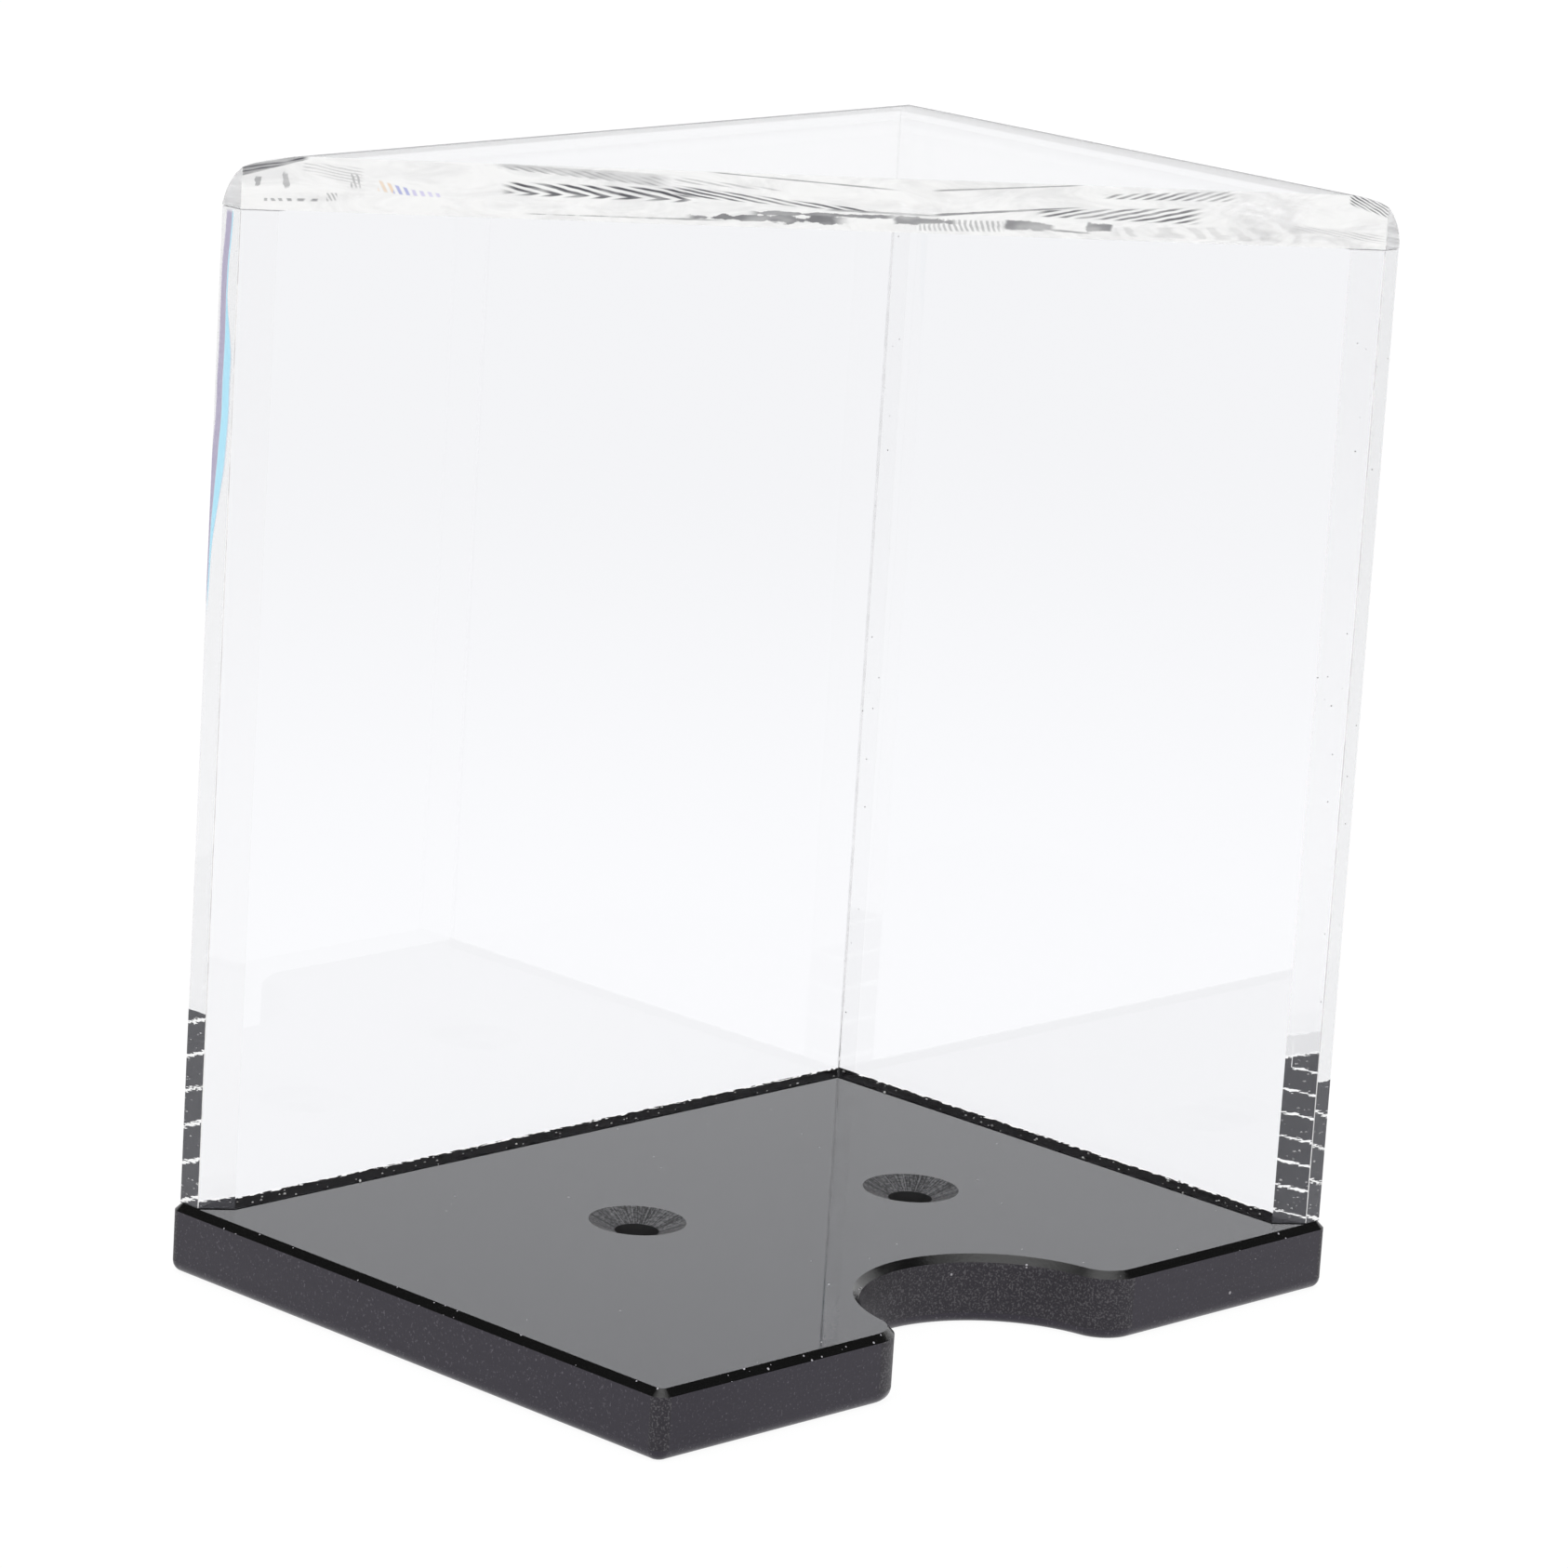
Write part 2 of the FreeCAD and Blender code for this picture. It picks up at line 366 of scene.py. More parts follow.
@dataclass(frozen=True)
class NickedEdge(Finish):
    """Black edge broken by a cutter, glossy with small pale nicks."""

    title: str = "nicked_black_edge"
    colour: Colour = (0.003, 0.003, 0.003, 1.0)
    nick_colour: Colour = (0.42, 0.41, 0.44, 1.0)
    nick_cell: float = 0.75 * MM
    nick_radius: float = 0.25
    nick_share: float = 0.40
    flake_cell: float = 0.35 * MM
    flake_height: float = 0.02 * MM
    ior: float = 1.49

    def shade(self, bench: Bench) -> bpy.types.NodeSocket:
        """Build a black edge with nicks and flakes.

        Args:
            bench: The tree to add to.

        Returns:
            The surface shader.
        """
        nicks = bench.dots(bench.cells(self.nick_cell), self.nick_radius, self.nick_share)
        flakes = bench.noise(bench.cells(self.flake_cell), 3.0)
        return bench.principled(
            Base_Color=bench.blend(nicks, self.colour, self.nick_colour),
            Roughness=0.16 + nicks * 0.5,
            IOR=self.ior,
            Normal=bench.bump(flakes * self.flake_height),
        )


@dataclass(frozen=True)
class SatinBlack(Finish):
    """Milled black acrylic edge: satin, with fine specks and cutter lines."""

    title: str = "satin_black"
    colour: Colour = (0.014, 0.0125, 0.018, 1.0)
    speck_colour: Colour = (0.15, 0.14, 0.16, 1.0)
    sheen: Colour = (0.93, 0.87, 1.0, 1.0)
    grain_cell: float = 0.28 * MM
    line_cell: float = 0.6 * MM
    line_stretch: float = 60.0
    grain_height: float = 0.016 * MM
    speck_start: float = 0.58
    speck_fade: float = 0.16
    scuff_cell: float = 2.0 * MM
    scuff_radius: float = 0.10
    scuff_share: float = 0.22
    scuff_colour: Colour = (0.45, 0.44, 0.46, 1.0)
    roughness: float = 0.46
    ior: float = 1.49

    def shade(self, bench: Bench) -> bpy.types.NodeSocket:
        """Build satin black with grain.

        Args:
            bench: The tree to add to.

        Returns:
            The surface shader.
        """
        grain = bench.noise(bench.cells(self.grain_cell), 3.0)
        lines = bench.noise(bench.stretched([self.line_stretch, self.line_stretch, 1 / self.line_cell]), 2.0)
        specks = grain.rise(self.speck_start, self.speck_start + self.speck_fade)
        scuffs = bench.dots(bench.cells(self.scuff_cell), self.scuff_radius, self.scuff_share)
        speckled = bench.blend(specks * 0.5, self.colour, self.speck_colour)
        return bench.principled(
            Base_Color=bench.blend(scuffs * 0.8, speckled, self.scuff_colour),
            Roughness=self.roughness + 0.12 * (lines - 0.5),
            Specular_Tint=self.sheen,
            IOR=self.ior,
            Normal=bench.bump(grain * self.grain_height + lines * (self.grain_height * 0.5)),
        )


@dataclass(frozen=True)
class MilledBlack(SatinBlack):
    """Black acrylic where the router went round a curve: rougher and speckled."""

    title: str = "milled_black"
    colour: Colour = (0.010, 0.0095, 0.011, 1.0)
    speck_colour: Colour = (0.135, 0.13, 0.135, 1.0)
    grain_cell: float = 0.21 * MM
    grain_height: float = 0.035 * MM
    speck_start: float = 0.49
    roughness: float = 0.5


@dataclass(frozen=True)
class GroundCone(Finish):
    """Rough countersink in black acrylic with radial cutter streaks."""

    title: str = "ground_cone"
    centre: Plan = (0.0, 0.0)
    colour: Colour = (0.022, 0.022, 0.024, 1.0)
    streak_colour: Colour = (0.19, 0.19, 0.20, 1.0)
    streaks: float = 24.0
    grain_cell: float = 0.3 * MM
    height: float = 0.05 * MM
    ior: float = 1.49

    def shade(self, bench: Bench) -> bpy.types.NodeSocket:
        """Build rough grey with streaks that run to the hole's axis.

        Args:
            bench: The tree to add to.

        Returns:
            The surface shader.
        """
        arm = bench.add(
            "ShaderNodeVectorMath", {"operation": "SUBTRACT"},
            {0: bench.place(), 1: (self.centre[0], self.centre[1], 0.0)})
        flat = bench.add(
            "ShaderNodeVectorMath", {"operation": "MULTIPLY"}, {0: arm.outputs[0], 1: (1.0, 1.0, 0.0)})
        round_arm = bench.add("ShaderNodeVectorMath", {"operation": "NORMALIZE"}, {0: flat.outputs[0]})
        spokes = bench.add(
            "ShaderNodeVectorMath", {"operation": "SCALE"},
            {0: round_arm.outputs[0], "Scale": self.streaks})
        streak = bench.noise(spokes.outputs[0], 3.0, 0.4)
        grain = bench.noise(bench.cells(self.grain_cell), 2.0)
        worn = (streak * 0.6 + grain * 0.4).rise(0.42, 0.64)
        return bench.principled(
            Base_Color=bench.blend(worn, self.colour, self.streak_colour),
            Roughness=0.55 + 0.2 * grain,
            IOR=self.ior,
            Normal=bench.bump((streak + grain * 0.5) * self.height),
        )


@dataclass(frozen=True)
class DrilledBlack(Finish):
    """Wall of a drilled hole in black acrylic."""

    title: str = "drilled_black"
    colour: Colour = (0.03, 0.03, 0.031, 1.0)
    ring_cell: float = 0.4 * MM
    ring_stretch: float = 100.0
    ring_height: float = 0.02 * MM
    ior: float = 1.49

    def shade(self, bench: Bench) -> bpy.types.NodeSocket:
        """Build dark satin with drill rings.

        Args:
            bench: The tree to add to.

        Returns:
            The surface shader.
        """
        rings = bench.noise(bench.stretched([self.ring_stretch, self.ring_stretch, 1 / self.ring_cell]), 2.0)
        return bench.principled(
            Base_Color=self.colour,
            Roughness=0.4 + 0.2 * rings,
            IOR=self.ior,
            Normal=bench.bump(rings * self.ring_height),
        )


@dataclass(frozen=True)
class ClearAcrylic(Finish):
    """Clear acrylic sheet face, polished, hardly uneven."""

    title: str = "clear_sheet"
    tint: Colour = CLEAR_TINT
    ior: float = 1.49
    ripple_cells: Cells = (25.0, 25.0, 25.0)
    ripple_turn: float = 0.0
    ripple_height: float = 0.002 * MM
    haze: float = 0.0
    haze_colour: Colour = (0.88, 0.89, 1.0, 1.0)

    def clear(self, bench: Bench) -> bpy.types.NodeSocket:
        """Build clear plastic whose face ripples a little.

        Args:
            bench: The tree to add to.

        Returns:
            The shader.
        """
        ripple = bench.noise(bench.stretched(self.ripple_cells, self.ripple_turn), 2.0)
        return bench.principled(
            Base_Color=self.tint,
            Roughness=0.0,
            IOR=self.ior,
            Transmission_Weight=1.0,
            Normal=bench.bump(ripple * self.ripple_height),
        )

    def veil(self, bench: Bench) -> bpy.types.NodeSocket:
        """Build the pale haze of a sawn face."""
        return bench.diffuse(self.haze_colour)

    def shade(self, bench: Bench) -> bpy.types.NodeSocket:
        """Build the clear face, with its haze if it has any.

        Args:
            bench: The tree to add to.

        Returns:
            The surface shader.
        """
        if not self.haze:
            return self.clear(bench)
        return bench.mix(self.haze, self.clear(bench), self.veil(bench))


@dataclass(frozen=True)
class RoundOver(ClearAcrylic):
    """Rounded top edge under a grey translucent skin, painted shade for the darker band that refraction
    makes there, so that it lets light through softly.
    """

    title: str = "clear_round_over_painted_shade"
    ripple_cells: Cells = (60.0, 60.0, 300.0)
    ripple_height: float = 0.0004 * MM
    haze: float = 0.5
    # Painted shade: grey colour of the translucent skin.
    haze_colour: Colour = (0.82, 0.82, 0.83, 1.0)

    def veil(self, bench: Bench) -> bpy.types.NodeSocket:
        """Build the grey skin of painted shade."""
        return bench.translucent(self.haze_colour)


@dataclass(frozen=True)
class StressedEnd(ClearAcrylic):
    """Wall end with a painted streak of coloured light near its top, where the plastic is under stress."""

    title: str = "clear_stressed_end_painted_colour"
    outer_y: float = 0.0
    top: float = 113.6 * MM
    length: float = 43 * MM
    violet: Colour = (0.31, 0.26, 0.44, 1.0)
    cyan: Colour = (0.30, 0.76, 0.97, 1.0)
    cover: float = 0.74
    sway_cells: Cells = (100.0, 100.0, 90.0)
    sway: float = 0.7

    def shade(self, bench: Bench) -> bpy.types.NodeSocket:
        """Build the hazy end with a painted violet and cyan streak of coloured light along its outer edge.

        Args:
            bench: The tree to add to.

        Returns:
            The surface shader.
        """
        inset = (self.outer_y - bench.axis(Axis.Y)) * MM_PER_METRE
        share = 1 - (self.top - bench.axis(Axis.Z)) * (1 / self.length)
        sway = bench.noise(bench.stretched(self.sway_cells), 2.0) * self.sway - self.sway / 2
        middle = 0.15 + 1.0 * share.rise(0.12, 0.55) + 0.4 * share.rise(0.8, 1.0) + sway
        ends = share.rise(0.0, 0.10) * (1 - share.rise(0.985, 1.0))
        reach = 0.25 + 1.1 * share.rise(0.1, 0.4) * (1 - share.rise(0.62, 0.80))
        border = inset.rise(middle - 0.05, middle + 0.1)
        violet = inset.rise(middle - 0.95, middle - 0.7) * (1 - border)
        cyan = border * (1 - inset.rise(middle + reach * 0.7, middle + reach))
        colour = bench.blend(cyan, self.violet, self.cyan)
        # Painted coloured light: the streak's violet and cyan are painted into an opaque layer.
        streak = bench.principled(Base_Color=colour, Roughness=0.3)
        return bench.mix(violet.higher(cyan) * ends * self.cover, super().shade(bench), streak)


@dataclass(frozen=True)
class PaintedReflectionStreaks:
    """A patch of painted reflection streaks on the front of the top, in millimetres along and up the face.

    Attributes:
        start: Where the middle line of the patch starts.
        end: Where it ends.
        halves: Half height of the patch at its start and at its end.
        period: Distance from streak to streak, or 0 for one plain mark.
        slant: How far the streaks lean along the face for each millimetre up.
        fold: How far below the middle line the streaks turn back.
        depth: How dark the patch is, up to 1.
        ragged: How far the edges are torn.
        waver: How much the streaks wave.
        colour: Colour of the painted reflection marks.
        tear_cells: Cells per metre of the torn edges.
        patch_cells: Cells per metre of the change in tone.
        sway_cells: Cells per metre of the waves.
    """

    start: Plan
    end: Plan
    halves: Plan
    period: float = 0.0
    slant: float = 0.0
    fold: float = 9.0
    depth: float = 0.85
    ragged: float = 0.0
    waver: float = 3.0
    colour: Colour = (0.075, 0.075, 0.088, 1.0)
    tear_cells: Cells = (520.0, 520.0, 900.0)
    patch_cells: Cells = (260.0, 260.0, 700.0)
    sway_cells: Cells = (180.0, 180.0, 400.0)

    def mask(self, bench: Bench, along: Field, rise: Field) -> Field:
        """Give where the painted reflection streaks are dark.

        Args:
            bench: The tree to add to.
            along: Millimetres along the face from its left end.
            rise: Millimetres above the face's foot.

        Returns:
            The mask, 0 where clear.
        """
        length = self.end[0] - self.start[0]
        share = (along - self.start[0]) * (1 / length)
        middle = self.start[1] + share * (self.end[1] - self.start[1])
        half = self.halves[0] + share * (self.halves[1] - self.halves[0])
        offset = rise - middle
        far = offset.higher(offset * -1.0)
        if self.ragged:
            tear = bench.noise(bench.stretched(self.tear_cells), 5.0, 0.6) - 0.5
            far = far + tear * self.ragged
            share = share + tear * (self.ragged / length)
        ends = share.rise(-0.02, 0.08) * (1 - share.rise(0.88, 1.02))
        inside = (1 - far.rise(half * 0.7, half * 1.1)) * ends
        patchy = bench.noise(bench.stretched(self.patch_cells), 2.0).rise(0.25, 0.6)
        if not self.period:
            return inside * (0.65 + 0.35 * patchy) * self.depth
        sway = bench.noise(bench.stretched(self.sway_cells), 3.0) * self.waver
        bent = offset.higher(-2 * self.fold - offset)
        wave = (along + bent * self.slant) * (math.tau / self.period) + sway
        return inside * wave.sine().rise(-0.6, 0.7) * (0.5 + 0.5 * patchy) * self.depth


# Fan of painted reflection marks left of the middle.
LEFT_FAN: tuple[PaintedReflectionStreaks, ...] = (
    PaintedReflectionStreaks(start=(25.5, 5.5), end=(44.0, 4.4), halves=(0.15, 0.75), depth=0.30, ragged=0.4),
    PaintedReflectionStreaks(start=(26.0, 5.3), end=(44.0, 4.3), halves=(0.2, 0.6), period=1.5, slant=4.0, depth=0.55),
    PaintedReflectionStreaks(
        start=(26.5, 3.1), end=(47.0, 3.0), halves=(0.7, 0.75),
        period=2.6, slant=4.6, fold=0.42, depth=1.0, waver=7.0,
    ),
)

# Painted reflection waves across the middle and along its foot.
MIDDLE_WAVES: tuple[PaintedReflectionStreaks, ...] = (
    PaintedReflectionStreaks(
        start=(44.0, 3.5), end=(66.0, 2.0), halves=(0.6, 0.14),
        period=3.2, slant=9.0, depth=0.95, waver=6.0,
    ),
    PaintedReflectionStreaks(start=(52.0, 1.5), end=(68.0, 1.6), halves=(0.16, 0.2), depth=0.75, ragged=0.7),
    PaintedReflectionStreaks(
        start=(69.5, 0.9), end=(79.0, 1.0), halves=(0.7, 0.6),
        period=0.55, slant=0.25, depth=0.45, waver=16.0,
    ),
    PaintedReflectionStreaks(
        start=(90.0, 0.9), end=(112.0, 1.2), halves=(0.5, 0.9),
        period=2.6, slant=0.5, depth=0.20, waver=18.0,
    ),
    PaintedReflectionStreaks(start=(44.0, 4.6), end=(56.0, 3.9), halves=(0.35, 0.1), period=3.0, slant=8.0, depth=0.35),
)

# Painted reflection hairlines that run out from the middle.
HAIRLINES: tuple[PaintedReflectionStreaks, ...] = (
    PaintedReflectionStreaks(start=(47.7, 5.55), end=(68.0, 4.35), halves=(0.05, 0.09), depth=0.6, ragged=0.08),
    PaintedReflectionStreaks(start=(71.0, 4.45), end=(87.0, 5.6), halves=(0.10, 0.06), depth=0.6, ragged=0.08),
    PaintedReflectionStreaks(start=(60.0, 2.1), end=(72.0, 1.85), halves=(0.12, 0.1), depth=0.5, ragged=0.2),
    PaintedReflectionStreaks(start=(71.0, 1.9), end=(87.0, 3.3), halves=(0.14, 0.08), depth=0.7, ragged=0.15),
    PaintedReflectionStreaks(start=(29.0, 0.55), end=(50.0, 0.6), halves=(0.03, 0.1), depth=0.55, ragged=0.2),
)

# Ragged painted reflection patches along the foot.
FOOT_REFLECTION_PATCHES: tuple[PaintedReflectionStreaks, ...] = (
    PaintedReflectionStreaks(start=(45.5, 0.8), end=(62.5, 1.05), halves=(0.18, 0.42), depth=0.85, ragged=1.3),
    PaintedReflectionStreaks(start=(67.0, 1.3), end=(74.0, 1.25), halves=(0.35, 0.3), depth=0.7, ragged=1.2),
    PaintedReflectionStreaks(start=(78.7, 1.2), end=(84.3, 1.1), halves=(0.52, 0.40), depth=0.75, ragged=0.8),
    PaintedReflectionStreaks(start=(87.4, 1.25), end=(90.2, 1.2), halves=(0.55, 0.35), depth=0.75, ragged=0.9),
    PaintedReflectionStreaks(start=(83.5, 0.85), end=(88.0, 0.6), halves=(0.12, 0.08), depth=0.6, ragged=0.2),
)

# Fans of painted reflection marks right of the middle.
RIGHT_FANS: tuple[PaintedReflectionStreaks, ...] = (
    PaintedReflectionStreaks(
        start=(82.0, 2.5), end=(99.8, 2.8), halves=(0.35, 0.95),
        period=2.25, slant=-4.5, depth=0.9, waver=9.0,
    ),
    PaintedReflectionStreaks(
        start=(89.0, 4.5), end=(103.2, 5.0), halves=(0.25, 0.62),
        period=1.5, slant=-3.2, depth=0.75, waver=4.0,
    ),
)

# Painted reflection curls at the left end.
LEFT_END_CURLS: tuple[PaintedReflectionStreaks, ...] = (
    PaintedReflectionStreaks(start=(-0.3, 3.9), end=(6.8, 5.6), halves=(0.6, 0.25), depth=0.62, ragged=0.3),
    PaintedReflectionStreaks(
        start=(-0.3, 3.9), end=(6.8, 5.6), halves=(0.6, 0.25),
        period=9.0, slant=26.0, depth=1.0, waver=8.0,
    ),
    PaintedReflectionStreaks(
        start=(6.0, 4.6), end=(12.5, 3.6), halves=(0.5, 1.1),
        period=9.0, slant=30.0, depth=0.30, waver=16.0,
    ),
    PaintedReflectionStreaks(
        start=(11.0, 3.4), end=(12.2, 3.2), halves=(0.9, 0.7),
        period=0.5, slant=0.5, depth=0.5, waver=20.0,
    ),
    PaintedReflectionStreaks(
        start=(8.6, 1.5), end=(9.8, 1.6), halves=(0.5, 0.4),
        period=0.45, slant=0.5, depth=0.5, waver=20.0,
    ),
)

# Painted reflection curls at the right end.
RIGHT_END_CURLS: tuple[PaintedReflectionStreaks, ...] = (
    PaintedReflectionStreaks(
        start=(115.0, 5.2), end=(119.6, 4.0), halves=(0.6, 0.8),
        period=1.0, slant=3.0, depth=1.0, waver=14.0,
    ),
    PaintedReflectionStreaks(
        start=(109.0, 2.0), end=(119.6, 1.0), halves=(0.25, 0.5),
        period=3.0, slant=12.0, depth=0.35, waver=16.0,
    ),
)

# Small painted reflection patches at the left end.
LEFT_END_REFLECTION_PATCHES: tuple[PaintedReflectionStreaks, ...] = (
    PaintedReflectionStreaks(
        start=(2.0, 1.05), end=(8.4, 1.2), halves=(0.17, 0.15),
        period=0.95, slant=0.0, depth=0.7, waver=20.0,
    ),
    PaintedReflectionStreaks(start=(1.3, 2.9), end=(1.9, 2.9), halves=(0.5, 0.4), depth=0.55, ragged=0.9),
    PaintedReflectionStreaks(start=(4.2, 3.2), end=(4.8, 3.2), halves=(0.9, 0.7), depth=0.5, ragged=0.9),
)

# Small painted rainbow of coloured light near the left end.
RAINBOW: tuple[PaintedReflectionStreaks, ...] = (
    PaintedReflectionStreaks(
        start=(13.8, 2.9), end=(15.6, 2.6), halves=(0.6, 0.5),
        period=0.8, slant=0.6, depth=0.5, colour=(0.75, 0.42, 0.12, 1.0),
    ),
    PaintedReflectionStreaks(
        start=(15.4, 2.6), end=(17.4, 2.3), halves=(0.5, 0.35),
        period=0.8, slant=0.6, depth=0.6, colour=(0.12, 0.16, 0.62, 1.0),
    ),
    PaintedReflectionStreaks(
        start=(17.2, 2.3), end=(20.5, 2.1), halves=(0.35, 0.2),
        period=0.8, slant=0.6, depth=0.5, colour=(0.35, 0.30, 0.72, 1.0),
    ),
)


@dataclass(frozen=True)
class SawnFrontWithPaintedReflections(ClearAcrylic):
    """Front face of the top, sawn, with painted reflections: dark streaks painted into the clear plastic's
    colour.
    """

    title: str = "clear_sawn_front_painted_reflections"
    start: Plan = (0.0, 0.0)
    foot: float = 113.7 * MM
    haze: float = 0.80
    haze_colour: Colour = (0.925, 0.925, 0.92, 1.0)
    cloud_cells: Cells = (130.0, 130.0, 420.0)
    marbled_from: float = 88.0
    marbled_to: float = 112.0
    # Painted reflections, group by group.
    streaks: tuple[PaintedReflectionStreaks, ...] = (
        *LEFT_FAN,
        *MIDDLE_WAVES,
        *HAIRLINES,
        *FOOT_REFLECTION_PATCHES,
        *RIGHT_FANS,
        *LEFT_END_CURLS,
        *RIGHT_END_CURLS,
        *LEFT_END_REFLECTION_PATCHES,
        *RAINBOW,
    )

    def shade(self, bench: Bench) -> bpy.types.NodeSocket:
        """Build the clear face with its painted reflection streaks.

        Args:
            bench: The tree to add to.

        Returns:
            The surface shader.
        """
        across = (bench.axis(Axis.X) - self.start[0]) * (math.cos(self.ripple_turn) * MM_PER_METRE)
        along = across + (bench.axis(Axis.Y) - self.start[1]) * (-math.sin(self.ripple_turn) * MM_PER_METRE)
        rise = (bench.axis(Axis.Z) - self.foot) * MM_PER_METRE
        # Painted reflections: the mask and colour of the dark streaks.
        dark = Field(bench, bench.add("ShaderNodeValue").outputs[0])
        colour: Any = self.streaks[0].colour
        for patch in self.streaks:
            mask = patch.mask(bench, along, rise)
            colour = bench.blend(mask.rise(0.0, 0.2), colour, patch.colour)
            dark = dark.higher(mask)
        streak = bench.principled(Base_Color=colour, Roughness=0.4)
        clouded = bench.stretched(self.cloud_cells, self.ripple_turn)
        cloud = bench.noise(clouded, 4.0, 0.8).rise(0.3, 0.62)
        marbled = along.rise(self.marbled_from, self.marbled_to)
        cover = 0.86 + 0.34 * cloud - 0.26 * marbled * (1 - cloud)
        pale = bench.mix(self.haze * cover, self.clear(bench), self.veil(bench))
        return bench.mix(dark, pale, streak)


@dataclass(frozen=True)
class ScrapedEdge(Finish):
    """Narrow scraped edge of a clear sheet, which looks grey."""

    title: str = "scraped_clear_edge"
    colour: Colour = (0.66, 0.66, 0.66, 1.0)
    nick_colour: Colour = (0.85, 0.85, 0.84, 1.0)
    nick_cell: float = 3.0 * MM
    nick_height: float = 0.01 * MM

    def shade(self, bench: Bench) -> bpy.types.NodeSocket:
        """Build a grey edge with pale nicks.

        Args:
            bench: The tree to add to.

        Returns:
            The surface shader.
        """
        nicks = bench.noise(bench.cells(self.nick_cell), 4.0, 0.4).rise(0.40, 0.62)
        return bench.principled(
            Base_Color=bench.blend(nicks, self.colour, self.nick_colour),
            Roughness=0.5,
            Normal=bench.bump(nicks * self.nick_height),
        )


class Bond(Enum):
    """What lies behind a cemented face where the cement took."""

    BLACK_BASE = "black base"
    MILKY_LINE = "milky line"
    FROSTED = "frosted saw cut"


@dataclass(frozen=True)
class CementedFace(Finish):
    """Cemented sheet face. On the base it is glassy at dry spots and along its outer rim."""

    title: str
    bond: Bond
    across: Axis
    outer: float
    tint: Colour = CLEAR_TINT
    black: Colour = (0.022, 0.021, 0.023, 1.0)
    milk: Colour = (0.64, 0.64, 0.65, 1.0)
    milk_cover: float = 0.95
    rim: float = 0.85 * MM
    rim_cell: float = 1.1 * MM
    rim_fade: float = 0.03 * MM
    bubble_cell: float = 1.4 * MM
    bubble_radius: float = 0.17
    bubble_share: float = 0.18
    ior: float = 1.49

    def glass(self, bench: Bench) -> bpy.types.NodeSocket:
        """Build the bare face of the sheet."""
        return bench.principled(Base_Color=self.tint, Roughness=0.0, IOR=self.ior, Transmission_Weight=1.0)

    def joined(self, bench: Bench) -> Field:
        """Give where the cement took, away from the dry rim and the bubbles.

        Args:
            bench: The tree to add to.

        Returns:
            The mask, 1 where the cement took.
        """
        inset = self.outer - bench.axis(self.across)
        torn = bench.noise(bench.cells(self.rim_cell), 3.0, 0.4).rise(0.38, 0.66)
        ragged = torn * self.rim + 0.12 * self.rim
        wet = inset.rise(ragged, ragged + self.rim_fade)
        return wet * (1 - bench.dots(bench.cells(self.bubble_cell), self.bubble_radius, self.bubble_share))

    def shade(self, bench: Bench) -> bpy.types.NodeSocket:
        """Build the face as its bond makes it look.

        Args:
            bench: The tree to add to.

        Returns:
            The surface shader.
        """
        if self.bond is Bond.BLACK_BASE:
            beyond = bench.principled(Base_Color=self.black, Roughness=1.0, Specular_IOR_Level=0.0)
            return bench.mix(self.joined(bench), self.glass(bench), beyond)
        if self.bond is Bond.FROSTED:
            return bench.mix(self.milk_cover, self.glass(bench), bench.diffuse(self.milk))
        return bench.mix(self.milk_cover, bench.transparent(self.tint), bench.translucent(self.milk))


@dataclass(frozen=True)
class CuredCement(Finish):
    """Thin cured cement between two sheets."""

    title: str
    colour: Colour
    cover: float
    cloud_cell: float = 2.0 * MM

    def shade(self, bench: Bench) -> bpy.types.NodeSocket:
        """Build mostly clear cement with faint cloud.

        Args:
            bench: The tree to add to.

        Returns:
            The surface shader.
        """
        cloud = bench.noise(bench.cells(self.cloud_cell), 3.0)
        solid = bench.principled(Base_Color=self.colour, Roughness=0.3 + 0.2 * cloud)
        return bench.mix((cloud * 2.0 * self.cover).lower(1.0), bench.transparent(WHITE), solid)


def arc(centre: Plan, radius: float, start: float, end: float, steps: int) -> list[Plan]:
    """Give points along an arc.

    Args:
        centre: Middle of the arc.
        radius: Its radius.
        start: First angle in degrees.
        end: Last angle in degrees.
        steps: Number of straight steps.

    Returns:
        The points, both ends included.
    """
    angles = [math.radians(start + (end - start) * step / steps) for step in range(steps + 1)]
    return [(centre[0] + radius * math.cos(a), centre[1] + radius * math.sin(a)) for a in angles]


